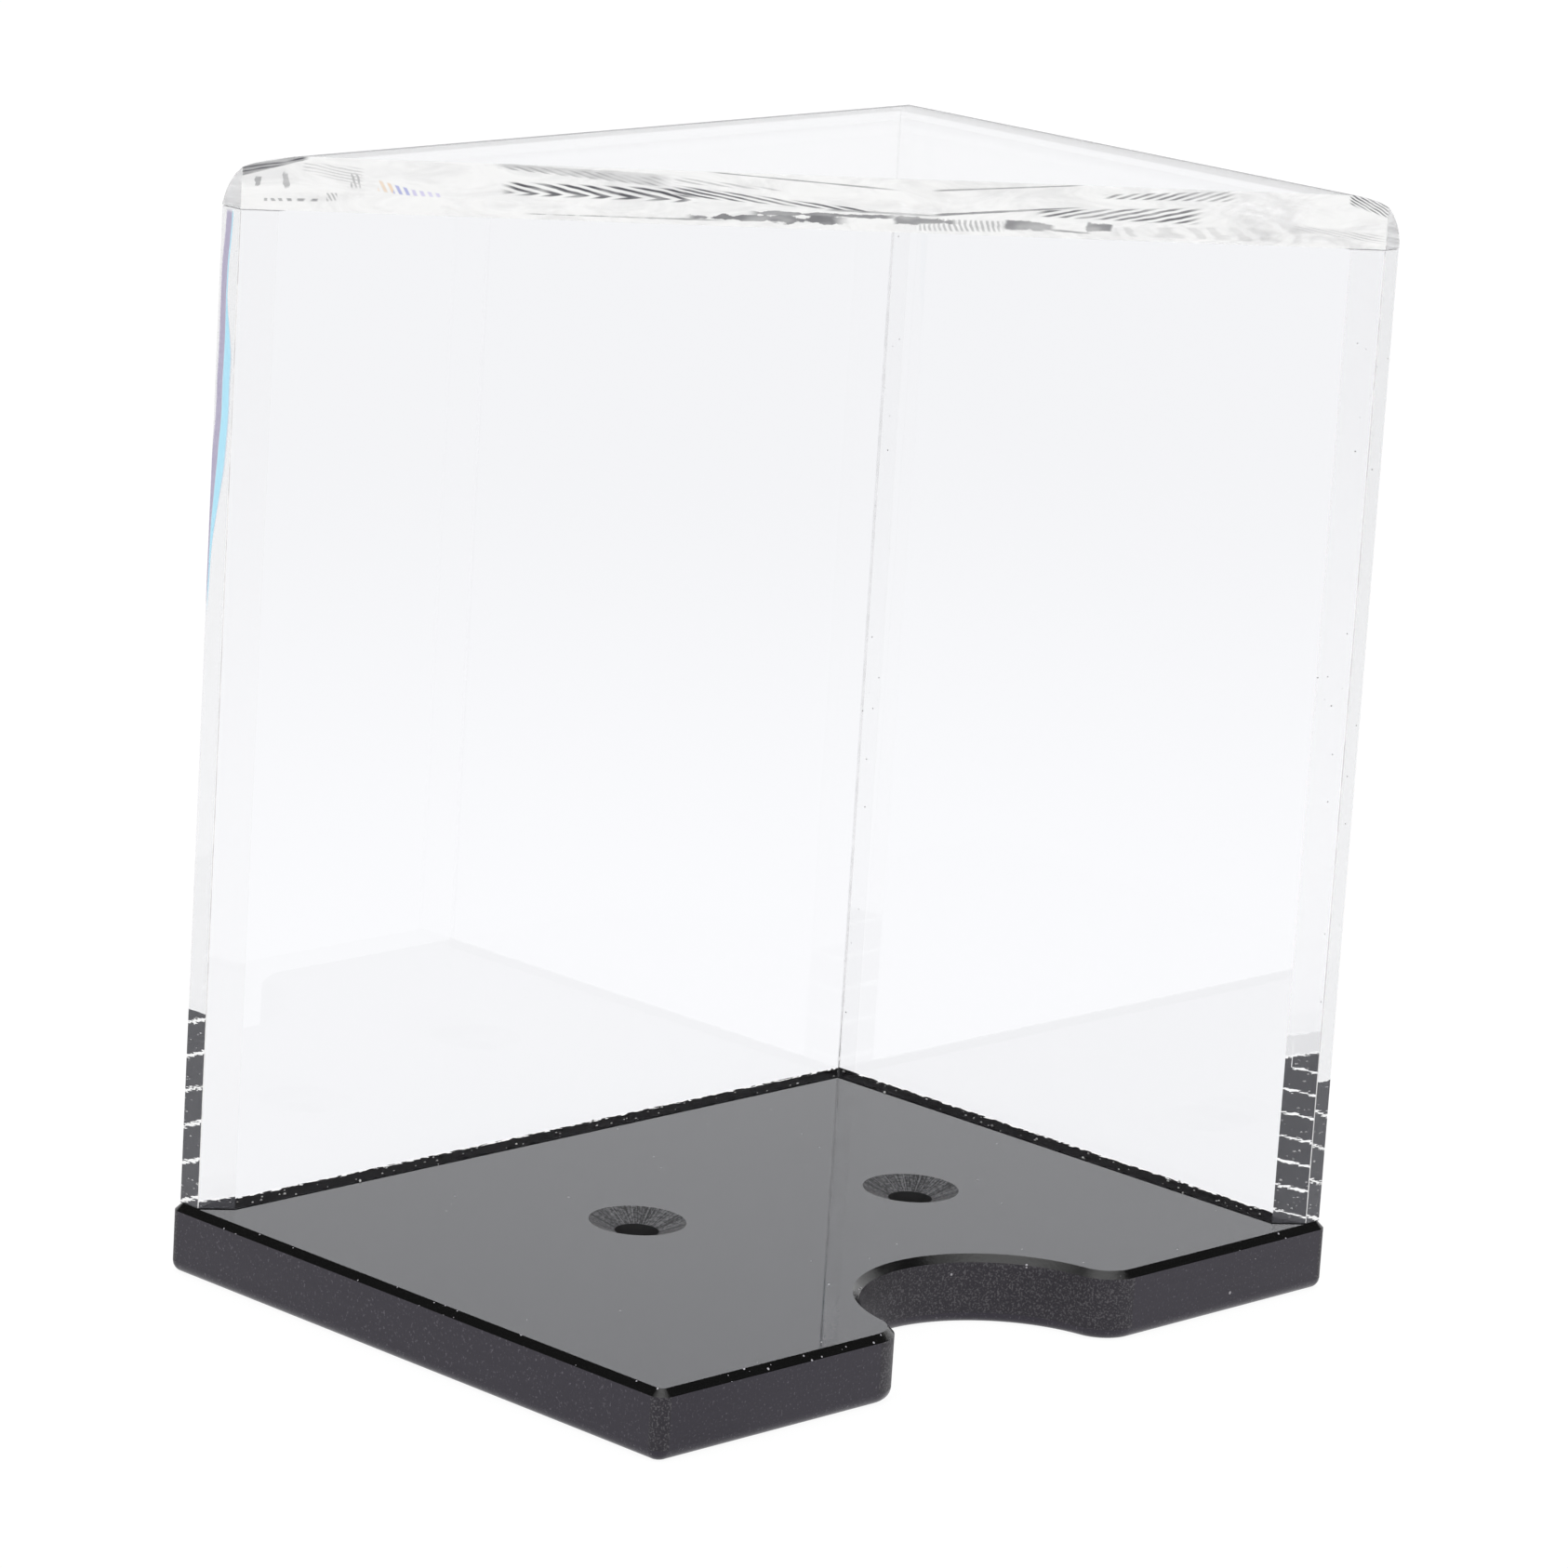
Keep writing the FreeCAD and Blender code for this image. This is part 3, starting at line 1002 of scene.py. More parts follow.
class MeshMaker:
    """Collects the faces of one piece and makes its object."""

    def __init__(self, name: str) -> None:
        """Start an empty piece.

        Args:
            name: Name of the finished piece.
        """
        self.name = name
        self.mesh = bmesh.new()
        self.finishes: list[Finish] = []

    def slot_of(self, finish: Finish) -> int:
        """Give the place of a finish among the piece's materials.

        Args:
            finish: The finish.

        Returns:
            The finish's place in the list.
        """
        if finish not in self.finishes:
            self.finishes.append(finish)
        return self.finishes.index(finish)

    def loop(self, points: Iterable[Plan], height: float) -> list[bmesh.types.BMVert]:
        """Add a level ring of vertices."""
        return [self.mesh.verts.new((x, y, height)) for x, y in points]

    def face(self, corners: Sequence[bmesh.types.BMVert], finish: Finish, curved: bool = False) -> None:
        """Add one face, shaded flat unless it is part of a curve.

        Args:
            corners: Vertices of the face, in order.
            finish: The finish.
            curved: Whether the face is part of a curve.
        """
        made = self.mesh.faces.new(corners)
        made.material_index = self.slot_of(finish)
        made.smooth = curved

    def band(
        self,
        lower: Sequence[bmesh.types.BMVert],
        upper: Sequence[bmesh.types.BMVert],
        finish: Union[Finish, Sequence[Finish]],
        closed: bool = True,
    ) -> None:
        """Join two rows of vertices by a band of faces.

        Args:
            lower: First row.
            upper: Second row, as long as the first.
            finish: Finish of the band, or of each step along it.
            closed: Whether the rows are rings.
        """
        count = len(lower)
        for here in range(count if closed else count - 1):
            after = (here + 1) % count
            dress = finish if isinstance(finish, Finish) else finish[here]
            self.face((lower[here], lower[after], upper[after], upper[here]), dress, curved=True)

    def cap(self, rings: Sequence[Sequence[bmesh.types.BMVert]], finish: Finish) -> None:
        """Fill a flat face between an outer ring and the rings of its holes.

        Args:
            rings: The outer ring and the rings of the holes.
            finish: The finish.
        """
        edges = []
        for ring in rings:
            for here, after in zip(ring, [*ring[1:], ring[0]]):
                edges.append(self.mesh.edges.get((here, after)) or self.mesh.edges.new((here, after)))
        filled = bmesh.ops.triangle_fill(self.mesh, use_beauty=True, edges=edges)
        for item in filled["geom"]:
            if isinstance(item, bmesh.types.BMFace):
                item.material_index = self.slot_of(finish)
                item.smooth = False

    def finish_piece(self, slot: Slot, *nodes: str) -> bpy.types.Object:
        """Make the object, hang it on the body and let it stand for its CAD nodes.

        Args:
            slot: Record slot of the piece; not used.
            nodes: CAD nodes that the piece replaces.

        Returns:
            The finished piece.
        """
        bmesh.ops.remove_doubles(self.mesh, verts=self.mesh.verts, dist=WELD_DISTANCE)
        bmesh.ops.recalc_face_normals(self.mesh, faces=self.mesh.faces)
        for edge in self.mesh.edges:
            edge.smooth = edge.calc_face_angle(0.0) < SHARP_ANGLE
        data = bpy.data.meshes.new(self.name)
        self.mesh.to_mesh(data)
        self.mesh.free()
        for finish in self.finishes:
            data.materials.append(finish.material())
        piece = bpy.data.objects.new(self.name, data)
        bpy.context.scene.collection.objects.link(piece)
        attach(piece, BODY)
        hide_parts(*nodes)
        log.info("%s: %d faces", self.name, len(data.polygons))
        return piece


@dataclass(frozen=True)
class Countersink:
    """A countersunk screw hole through the base."""

    name: str
    centre: Plan
    hole_radius: float = 2.375 * MM
    rim_radius: float = 5.2 * MM
    angle: float = math.radians(137)
    steps: int = 64

    @property
    def depth(self) -> float:
        """Depth of the cone."""
        return (self.rim_radius - self.hole_radius) / math.tan(self.angle / 2)

    def ring(self, radius: float) -> list[Plan]:
        """Give a ring of points around the hole's axis."""
        return arc(self.centre, radius, 0, 360, self.steps)[:-1]


@dataclass(frozen=True)
class BasePlate:
    """The black base with its thumb notch, chamfer and screw holes."""

    corner_radius: float = 1.5 * MM
    chamfer: float = 0.75 * MM
    bottom_radius: float = 1.2 * MM
    notch_radius: float = 14.8 * MM
    notch_setback: float = 1.2 * MM
    mouth_radius: float = 4.5 * MM
    holes: tuple[Countersink, ...] = (
        Countersink("left", (-13.0 * MM, 4.8 * MM)),
        Countersink("right", (20.1 * MM, -3.4 * MM)),
    )
    corner_steps: int = 10
    mouth_steps: int = 18
    notch_steps: int = 72
    round_steps: int = 8

    def outline(self, inset: float) -> list[Plan]:
        """Give the base's outline, moved inwards.

        Args:
            inset: How far inside the outer faces the outline lies.

        Returns:
            The outline's points, anticlockwise from the front left corner.
        """
        low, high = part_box("base_plate")
        left, front, right, back = low.x, low.y, high.x, high.y
        radius = self.corner_radius
        mouth_y = front + self.mouth_radius
        notch = (0.0, front + self.notch_setback)
        reach = self.notch_radius + self.mouth_radius
        mouth_x = math.sqrt(reach ** 2 - (notch[1] - mouth_y) ** 2)
        lean = math.degrees(math.atan2(notch[1] - mouth_y, mouth_x))
        mouth = self.mouth_radius - inset
        points = arc((left + radius, front + radius), radius - inset, 180, 270, self.corner_steps)
        points += arc((-mouth_x, mouth_y), mouth, 270, 360 + lean, self.mouth_steps)
        points += arc(notch, self.notch_radius + inset, 180 + lean, -lean, self.notch_steps)[1:-1]
        points += arc((mouth_x, mouth_y), mouth, 180 - lean, 270, self.mouth_steps)
        points += arc((right - radius, front + radius), radius - inset, 270, 360, self.corner_steps)
        points += arc((right - radius, back - radius), radius - inset, 0, 90, self.corner_steps)
        points += arc((left + radius, back - radius), radius - inset, 90, 180, self.corner_steps)
        return points

    def side_finishes(self) -> list[Finish]:
        """Give the finish of each step of the outline: satin on straights, milled on curves.

        Returns:
            One finish for each step.
        """
        satin, milled = SatinBlack(), MilledBlack()
        corner = [milled] * self.corner_steps + [satin]
        notch = [milled] * (2 * self.mouth_steps + self.notch_steps) + [satin]
        return corner + notch + corner * 3

    def build(self) -> bpy.types.Object:
        """Build and dress the base plate.

        Returns:
            The finished base plate.
        """
        low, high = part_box("base_plate")
        top, satin, eased = PolishedBlack(), SatinBlack(), SatinBlack("eased_black", roughness=0.24)
        maker = MeshMaker("base_plate_body")
        angles = [math.pi / 2 * step / self.round_steps for step in range(self.round_steps + 1)]
        profile = [
            (self.bottom_radius * (1 - math.sin(a)), low.z + self.bottom_radius * (1 - math.cos(a)))
            for a in angles
        ]
        profile.append((0.0, high.z - self.chamfer))
        profile.append((self.chamfer, high.z))
        rings = [maker.loop(self.outline(inset), height) for inset, height in profile]
        for lower, upper in zip(rings[:-3], rings[1:-2]):
            maker.band(lower, upper, eased)
        maker.band(rings[-3], rings[-2], self.side_finishes())
        maker.band(rings[-2], rings[-1], NickedEdge())
        upper_caps, lower_caps = [rings[-1]], [rings[0]]
        for hole in self.holes:
            rim = maker.loop(hole.ring(hole.rim_radius), high.z)
            throat = maker.loop(hole.ring(hole.hole_radius), high.z - hole.depth)
            foot = maker.loop(hole.ring(hole.hole_radius), low.z)
            maker.band(throat, rim, GroundCone(f"ground_cone_{hole.name}", hole.centre))
            maker.band(foot, throat, DrilledBlack())
            upper_caps.append(rim)
            lower_caps.append(foot)
        maker.cap(upper_caps, top)
        maker.cap(lower_caps, satin)
        return maker.finish_piece(Slot.BLACK, "base_plate")


@dataclass(frozen=True)
class Corner:
    """One corner of a wall's outline."""

    point: Plan
    finish: Finish
    free: bool = False


@dataclass(frozen=True)
class ClearHousing:
    """The two clear walls and the top, cut by one upright diagonal plane."""

    back_land: float = 2.9 * MM
    side_land: float = 2.2 * MM
    back_reach: float = 7.0 * MM
    side_reach: float = 5.6 * MM
    scrape: float = 0.06 * MM
    round_steps: int = 20
    top_tint: Colour = (0.918, 0.920, 0.932, 1.0)
    cut_tint: Colour = (0.962, 0.962, 0.952, 1.0)
    end_tint: Colour = (0.865, 0.865, 0.842, 1.0)
    end_haze: float = 0.075
    end_ripple: float = 0.004 * MM
    end_cells: Cells = (300.0, 300.0, 260.0)
    cut_cells: Cells = (700.0, 700.0, 120.0)
    back_face_ior: float = 1.33

    @property
    def outer(self) -> Plan:
        """Outer faces of the side wall and the back wall."""
        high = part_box("top_plate")[1]
        return high.x, high.y

    @property
    def inner(self) -> Plan:
        """Inner faces of the side wall and the back wall."""
        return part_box("side_wall")[0].x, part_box("back_wall")[0].y

    @property
    def left(self) -> float:
        """Where the back wall's free end stops."""
        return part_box("back_wall")[0].x

    @property
    def front(self) -> float:
        """Where the side wall's free end stops."""
        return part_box("side_wall")[0].y

    @property
    def back_cut(self) -> Plan:
        """Where the diagonal leaves the back wall's end face."""
        return self.left, self.outer[1] - self.back_land

    @property
    def side_cut(self) -> Plan:
        """Where the diagonal leaves the side wall's end face."""
        return self.outer[0] - self.side_land, self.front

    def on_diagonal(self, x: float | None = None, y: float | None = None) -> Plan:
        """Give the point of the diagonal at one coordinate.

        Args:
            x: The point's X, if that is known.
            y: The point's Y, if that is known.

        Returns:
            The point.
        """
        (x0, y0), (x1, y1) = self.back_cut, self.side_cut
        if x is None:
            return x0 + (y - y0) * (x1 - x0) / (y1 - y0), y
        return x, y0 + (x - x0) * (y1 - y0) / (x1 - x0)

    @property
    def slope(self) -> float:
        """Turn that brings the diagonal onto the X axis."""
        (x0, y0), (x1, y1) = self.back_cut, self.side_cut
        return -math.atan2(y1 - y0, x1 - x0)

    def cut_face(self) -> ClearAcrylic:
        """Give the finish of faces on the diagonal, rippled by the cutter.

        Returns:
            The finish.
        """
        return ClearAcrylic(
            "clear_cut_face",
            self.cut_tint,
            ripple_cells=self.cut_cells,
            ripple_turn=self.slope,
            ripple_height=self.end_ripple,
            haze=self.end_haze,
        )

    def end_face(self) -> ClearAcrylic:
        """Give the finish of the square wall ends.

        Returns:
            The finish.
        """
        return ClearAcrylic(
            "clear_end_face",
            self.end_tint,
            ripple_cells=self.end_cells,
            ripple_height=self.end_ripple,
            haze=self.end_haze,
        )

    def back_end_face(self) -> ClearAcrylic:
        """Give the finish of the back wall's free end, with its coloured streak.

        Returns:
            The finish.
        """
        return StressedEnd(
            tint=self.end_tint,
            ripple_cells=self.end_cells,
            ripple_height=self.end_ripple,
            haze=self.end_haze,
            outer_y=self.outer[1],
            top=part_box("back_wall")[1].z,
        )

    def ease(self, corners: Sequence[Corner]) -> list[Corner]:
        """Cut the free corners of a wall's outline by a narrow scraped edge.

        Args:
            corners: Outline corners, each with the finish of the face that starts there.

        Returns:
            The outline with two points for each free corner.
        """
        eased: list[Corner] = []
        for here, corner in enumerate(corners):
            if not corner.free:
                eased.append(corner)
                continue
            point = Vector(corner.point)
            before = (Vector(corners[here - 1].point) - point).normalized() * self.scrape
            after = (Vector(corners[(here + 1) % len(corners)].point) - point).normalized() * self.scrape
            eased.append(Corner(tuple(point + before), ScrapedEdge()))
            eased.append(Corner(tuple(point + after), corner.finish))
        return eased

    def wall(self, node: str, corners: Sequence[Corner], foot: Finish, crown: Finish) -> bpy.types.Object:
        """Build one wall.

        Args:
            node: The wall's CAD node.
            corners: Outline corners, each with the finish of the face that starts there.
            foot: Finish of the lower face.
            crown: Finish of the upper face.

        Returns:
            The finished wall.
        """
        low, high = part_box(node)
        maker = MeshMaker(f"{node}_sheet")
        eased = self.ease(corners)
        lower = maker.loop([corner.point for corner in eased], low.z)
        upper = maker.loop([corner.point for corner in eased], high.z)
        for here, corner in enumerate(eased):
            after = (here + 1) % len(eased)
            maker.face((lower[here], lower[after], upper[after], upper[here]), corner.finish)
        maker.face(lower, foot)
        maker.face(upper, crown)
        return maker.finish_piece(Slot.CLEAR, node)

    def corner_joint(self, title: str) -> CementedFace:
        """Give the finish of the faces that are cemented in the corner.

        Args:
            title: Name of the material.

        Returns:
            The finish.
        """
        return CementedFace(title, Bond.MILKY_LINE, Axis.X, self.outer[0], tint=JOINT_TINT, milk_cover=0.005)

    def back_wall(self) -> bpy.types.Object:
        """Build the back wall, with the strip where the side wall butts on it.

        Returns:
            The finished wall.
        """
        sheet = ClearAcrylic()
        (outer_x, outer_y), (inner_x, inner_y) = self.outer, self.inner
        joint = self.corner_joint("corner_joint_back")
        corners = [
            Corner((self.left, outer_y), self.back_end_face(), True),
            Corner(self.back_cut, self.cut_face(), True),
            Corner(self.on_diagonal(y=inner_y), sheet),
            Corner((inner_x, inner_y), joint),
            Corner((outer_x, inner_y), sheet),
            Corner((outer_x, outer_y), ClearAcrylic("clear_back_face", ior=self.back_face_ior)),
        ]
        foot = CementedFace("back_wall_foot", Bond.BLACK_BASE, Axis.Y, outer_y)
        crown = CementedFace("back_wall_crown", Bond.FROSTED, Axis.Y, outer_y)
        return self.wall("back_wall", corners, foot, crown)

    def side_wall(self) -> bpy.types.Object:
        """Build the side wall.

        Returns:
            The finished wall.
        """
        sheet = ClearAcrylic()
        (outer_x, _), (inner_x, _) = self.outer, self.inner
        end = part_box("side_wall")[1].y
        joint = self.corner_joint("corner_joint_side")
        corners = [
            Corner((outer_x, self.front), sheet, True),
            Corner((outer_x, end), joint),
            Corner((inner_x, end), sheet),
            Corner(self.on_diagonal(x=inner_x), self.cut_face()),
            Corner(self.side_cut, self.end_face(), True),
        ]
        foot = CementedFace("side_wall_foot", Bond.BLACK_BASE, Axis.X, outer_x)
        crown = CementedFace("side_wall_crown", Bond.FROSTED, Axis.X, outer_x)
        return self.wall("side_wall", corners, foot, crown)

    def round_depth(self, reach: float, rise: float, thickness: float) -> float:
        """Give how far inside the outer face the round-over lies at a height above the plate's foot.

        Args:
            reach: Where the round-over meets the top face.
            rise: Height above the foot.
            thickness: The plate's thickness.

        Returns:
            The distance from the outer face.
        """
        radius = (reach ** 2 + thickness ** 2) / (2 * thickness)
        up = min(rise - thickness + radius, radius)
        return reach - math.sqrt(max(radius ** 2 - up ** 2, 0.0))

    def rise_at(self, reach: float, depth: float, thickness: float) -> float:
        """Give the round-over's height at a distance from the outer face."""
        radius = (reach ** 2 + thickness ** 2) / (2 * thickness)
        return thickness - radius + math.sqrt(radius ** 2 - (reach - depth) ** 2)

    def round_levels(self, thickness: float) -> set[float]:
        """Give heights that cut the back round-over into equal turns.

        Args:
            thickness: The plate's thickness.

        Returns:
            Heights above the plate's foot.
        """
        radius = (self.back_reach ** 2 + thickness ** 2) / (2 * thickness)
        foot = math.asin((radius - thickness) / radius)
        whole = math.pi / 2 - foot
        turns = [foot + whole * step / self.round_steps for step in range(1, self.round_steps)]
        levels = {thickness - radius + radius * math.sin(turn) for turn in turns}
        return levels | {0.0, thickness}

    def top_plate(self) -> bpy.types.Object:
        """Build the top with its rounded outer edges and its cemented strips.

        Returns:
            The finished top.
        """
        low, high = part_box("top_plate")
        thickness = high.z - low.z
        (outer_x, outer_y), (inner_x, inner_y) = self.outer, self.inner
        sheet = ClearAcrylic("clear_top_sheet", self.top_tint)
        end = self.end_face()
        front_face = SawnFrontWithPaintedReflections(start=self.back_cut, ripple_turn=self.slope, foot=low.z)
        rounded = RoundOver()
        levels = self.round_levels(thickness)
        back_level = self.rise_at(self.back_reach, self.back_land, thickness)
        side_level = self.rise_at(self.side_reach, self.side_land, thickness)
        rises = sorted(levels | {back_level, side_level})
        maker = MeshMaker("top_plate_sheet")
        lefts, mitres, rights = [], [], []
        for rise in rises:
            depth_back = self.round_depth(self.back_reach, rise, thickness)
            depth_side = self.round_depth(self.side_reach, rise, thickness)
            back_y, side_x = outer_y - depth_back, outer_x - depth_side
            left = self.on_diagonal(y=back_y) if rise > back_level else (self.left, back_y)
            right = self.on_diagonal(x=side_x) if rise > side_level else (side_x, self.front)
            lefts.append(maker.mesh.verts.new((*left, low.z + rise)))
            mitres.append(maker.mesh.verts.new((side_x, back_y, low.z + rise)))
            rights.append(maker.mesh.verts.new((*right, low.z + rise)))
        maker.band(lefts, mitres, rounded, closed=False)
        maker.band(mitres, rights, rounded, closed=False)
        maker.face((lefts[-1], mitres[-1], rights[-1]), sheet)
        foot = {
            name: maker.mesh.verts.new((*point, low.z))
            for name, point in {
                "back_cut": self.back_cut,
                "back_bevel": self.on_diagonal(y=inner_y),
                "corner": (inner_x, inner_y),
                "corner_out": (outer_x, inner_y),
                "side_bevel": self.on_diagonal(x=inner_x),
                "side_cut": self.side_cut,
            }.items()
        }
        on_back, on_side = rises.index(back_level), rises.index(side_level)
        maker.face([foot["back_cut"], *lefts[: on_back + 1]], end)
        maker.face([foot["side_cut"], *rights[: on_side + 1]], end)
        front = [foot["side_cut"], *rights[on_side:], *reversed(lefts[on_back:])]
        front += [foot["back_cut"], foot["back_bevel"], foot["side_bevel"]]
        maker.face(front, front_face)
        maker.face((foot["back_bevel"], foot["corner"], foot["side_bevel"]), sheet)
        back_strip = [lefts[0], foot["back_cut"], foot["back_bevel"], foot["corner"], foot["corner_out"]]
        maker.face([*back_strip, mitres[0]], sheet)
        side_strip = [foot["corner_out"], foot["corner"], foot["side_bevel"], foot["side_cut"]]
        maker.face([*side_strip, rights[0]], sheet)
        return maker.finish_piece(Slot.CLEAR, "top_plate")

    def build(self) -> None:
        """Build both walls and the top."""
        self.back_wall()
        self.side_wall()
        self.top_plate()


@dataclass(frozen=True)
class Bead(Finish):
    """Small pale bubble in cured cement."""

    title: str = "cement_bead"
    colour: Colour = (0.82, 0.82, 0.80, 1.0)
    shade_colour: Colour = (0.35, 0.34, 0.33, 1.0)
    cell: float = 4.0 * MM

    def shade(self, bench: Bench) -> bpy.types.NodeSocket:
        """Build a pale bubble whose tone changes from place to place."""
        tone = bench.noise(bench.cells(self.cell), 1.0).rise(0.4, 0.6)
        return bench.principled(Base_Color=bench.blend(tone, self.shade_colour, self.colour), Roughness=0.25)


@dataclass(frozen=True)
class CementLine:
    """A thin cement line between two sheets, with bubbles scattered in it."""

    node: str
    finish: CuredCement
    beads_per_area: float
    bead_radius: float
    seed: int
    squeeze: float = 0.0
    squeeze_finish: CuredCement | None = None
    squeeze_waist: float = 0.4
    squeeze_gap: float = 0.004 * MM
    clearance: float = 0.01 * MM
    group: str = "scatter_beads"

    def draw_in(self, slab: bpy.types.Mesh) -> None:
        """Draw the slab in by a hair, so that its faces don't lie in the sheets' faces.

        Args:
            slab: Mesh of the cement line, in the row frame.
        """
        low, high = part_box(self.node)
        middle = (low + high) / 2
        for vertex in slab.vertices:
            offset = vertex.co - middle
            vertex.co -= Vector([math.copysign(self.clearance, value) for value in offset])

    def add_squeeze_out(self, slab: bpy.types.Mesh) -> None:
        """Add the thin fillet of cement that was pressed out into the inner corner.

        Args:
            slab: Mesh of the cement line, in the row frame.
        """
        low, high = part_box(self.node)
        gap = self.squeeze_gap
        waist = self.squeeze * self.squeeze_waist
        plan = (
            (low.x - gap, high.y - gap),
            (low.x - self.squeeze, high.y - gap),
            (low.x - waist, low.y - waist),
            (low.x - gap, low.y - self.squeeze),
        )
        maker = bmesh.new()
        maker.from_mesh(slab)
        lower = [maker.verts.new((x, y, low.z + gap)) for x, y in plan]
        upper = [maker.verts.new((x, y, high.z - gap)) for x, y in plan]
        made = [maker.faces.new(list(reversed(lower))), maker.faces.new(upper)]
        for here in range(len(plan)):
            after = (here + 1) % len(plan)
            made.append(maker.faces.new((lower[here], lower[after], upper[after], upper[here])))
        for face in made:
            face.material_index = 1
        bmesh.ops.recalc_face_normals(maker, faces=made)
        maker.to_mesh(slab)
        maker.free()

    def beads(self) -> bpy.types.GeometryNodeTree:
        """Make the node group that scatters bubbles over a slab, or give it again.

        Returns:
            The node group.
        """
        found = bpy.data.node_groups.get(self.group)
        if found:
            return found
        tree = bpy.data.node_groups.new(self.group, "GeometryNodeTree")
        for name, kind in (
            ("Slab", "NodeSocketGeometry"),
            ("Beads per area", "NodeSocketFloat"),
            ("Bead radius", "NodeSocketFloat"),
            ("Seed", "NodeSocketInt"),
            ("Bead finish", "NodeSocketMaterial"),
        ):
            tree.interface.new_socket(name, in_out="INPUT", socket_type=kind)
        tree.interface.new_socket("Geometry", in_out="OUTPUT", socket_type="NodeSocketGeometry")
        bench = Bench(tree)
        given = bench.add("NodeGroupInput").outputs
        points = bench.add(
            "GeometryNodeDistributePointsOnFaces", None,
            {"Mesh": given["Slab"], "Density": given["Beads per area"], "Seed": given["Seed"]})
        ball = bench.add("GeometryNodeMeshIcoSphere", None, {"Radius": 1.0, "Subdivisions": 2})
        spread = bench.add(
            "FunctionNodeRandomValue", {"data_type": "FLOAT"}, {2: 0.3, 3: 1.0, "Seed": given["Seed"]})
        size = Field(bench, spread.outputs[1]) * Field(bench, given["Bead radius"])
        placed = bench.add(
            "GeometryNodeInstanceOnPoints", None,
            {"Points": points.outputs[0], "Instance": ball.outputs[0], "Scale": size})
        real = bench.add("GeometryNodeRealizeInstances", None, {0: placed.outputs[0]})
        dressed = bench.add(
            "GeometryNodeSetMaterial", None, {"Geometry": real.outputs[0], "Material": given["Bead finish"]})
        joined = bench.add("GeometryNodeJoinGeometry", None, {0: given["Slab"]})
        tree.links.new(dressed.outputs[0], joined.inputs[0])
        bench.add("NodeGroupOutput", None, {0: joined.outputs[0]})
        return tree

    def build(self) -> bpy.types.Object:
        """Build the slab with its bubbles as one plain mesh.

        Returns:
            The finished cement line.
        """
        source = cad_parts[self.node]
        slab = source.data.copy()
        slab.transform(source.matrix_world)
        self.draw_in(slab)
        slab.materials.clear()
        slab.materials.append(self.finish.material())
        if self.squeeze_finish:
            slab.materials.append(self.squeeze_finish.material())
            self.add_squeeze_out(slab)
        piece = bpy.data.objects.new(f"{self.node}_line", slab)
        bpy.context.scene.collection.objects.link(piece)
        scatter = piece.modifiers.new("beads", "NODES")
        tree = self.beads()
        scatter.node_group = tree
        values = {
            "Beads per area": self.beads_per_area,
            "Bead radius": self.bead_radius,
            "Seed": self.seed,
            "Bead finish": Bead().material(),
        }
        for item in tree.interface.items_tree:
            if item.name in values:
                scatter[item.identifier] = values[item.name]
        graph = bpy.context.evaluated_depsgraph_get()
        made = bpy.data.meshes.new_from_object(piece.evaluated_get(graph))
        piece.modifiers.clear()
        piece.data = made
        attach(piece, BODY)
        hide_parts(self.node)
        log.info("%s: %d faces", piece.name, len(made.polygons))
        return piece


def build_cement() -> None:
    """Build the five cement lines."""
    dark = CuredCement("cement_on_black", colour=(0.05, 0.05, 0.055, 1.0), cover=0.8)
    clear = CuredCement("cement_clear", colour=(0.80, 0.80, 0.79, 1.0), cover=0.010)
    squeezed = CuredCement("cement_squeezed", colour=(0.40, 0.40, 0.42, 1.0), cover=0.09)
    lines = (
        CementLine("back_wall_base_bond", dark, beads_per_area=7.0e4, bead_radius=0.20 * MM, seed=3),
        CementLine("side_wall_base_bond", dark, beads_per_area=7.0e4, bead_radius=0.20 * MM, seed=8),
        CementLine(
            "corner_bond", clear, beads_per_area=2.0e4, bead_radius=0.10 * MM, seed=5,
            squeeze=0.18 * MM, squeeze_finish=squeezed),
        CementLine("back_wall_top_bond", clear, beads_per_area=3.0e4, bead_radius=0.14 * MM, seed=6),
        CementLine("side_wall_top_bond", clear, beads_per_area=3.0e4, bead_radius=0.14 * MM, seed=7),
    )
    for line in lines:
        line.build()


@dataclass(frozen=True)
class PhotoCamera:
    """The camera of the photograph."""

    image_side: float = 1686.0
    focal: float = 7603.2
    yaw: float = math.radians(45.607)
    pitch: float = math.radians(13.733)
    roll: float = math.radians(3.577)
    place: tuple[float, float, float] = (-515.40 * MM, -504.70 * MM, 230.77 * MM)
    sensor: float = 36.0
    near_clip: float = 0.01
    far_clip: float = 100.0

    @property
    def forward(self) -> Vector:
        """Direction that the camera looks in."""
        level = math.cos(self.pitch)
        return Vector((math.sin(self.yaw) * level, math.cos(self.yaw) * level, -math.sin(self.pitch)))

    def build(self) -> bpy.types.Object:
        """Make the camera and set it as the scene's own.

        Returns:
            The camera.
        """
        right = Vector((math.cos(self.yaw), -math.sin(self.yaw), 0.0))
        up = right.cross(self.forward)
        rolled_right = right * math.cos(self.roll) + up * math.sin(self.roll)
        rolled_up = up * math.cos(self.roll) - right * math.sin(self.roll)
        turn = Matrix((rolled_right, rolled_up, -self.forward)).transposed()
        data = bpy.data.cameras.new("photo_camera")
        data.sensor_width = self.sensor
        data.lens = self.focal / self.image_side * self.sensor
        data.clip_start = self.near_clip
        data.clip_end = self.far_clip
        camera = bpy.data.objects.new("photo_camera", data)
        camera.matrix_world = Matrix.Translation(self.place) @ turn.to_4x4()
        bpy.context.scene.collection.objects.link(camera)
        bpy.context.scene.camera = camera
        return camera


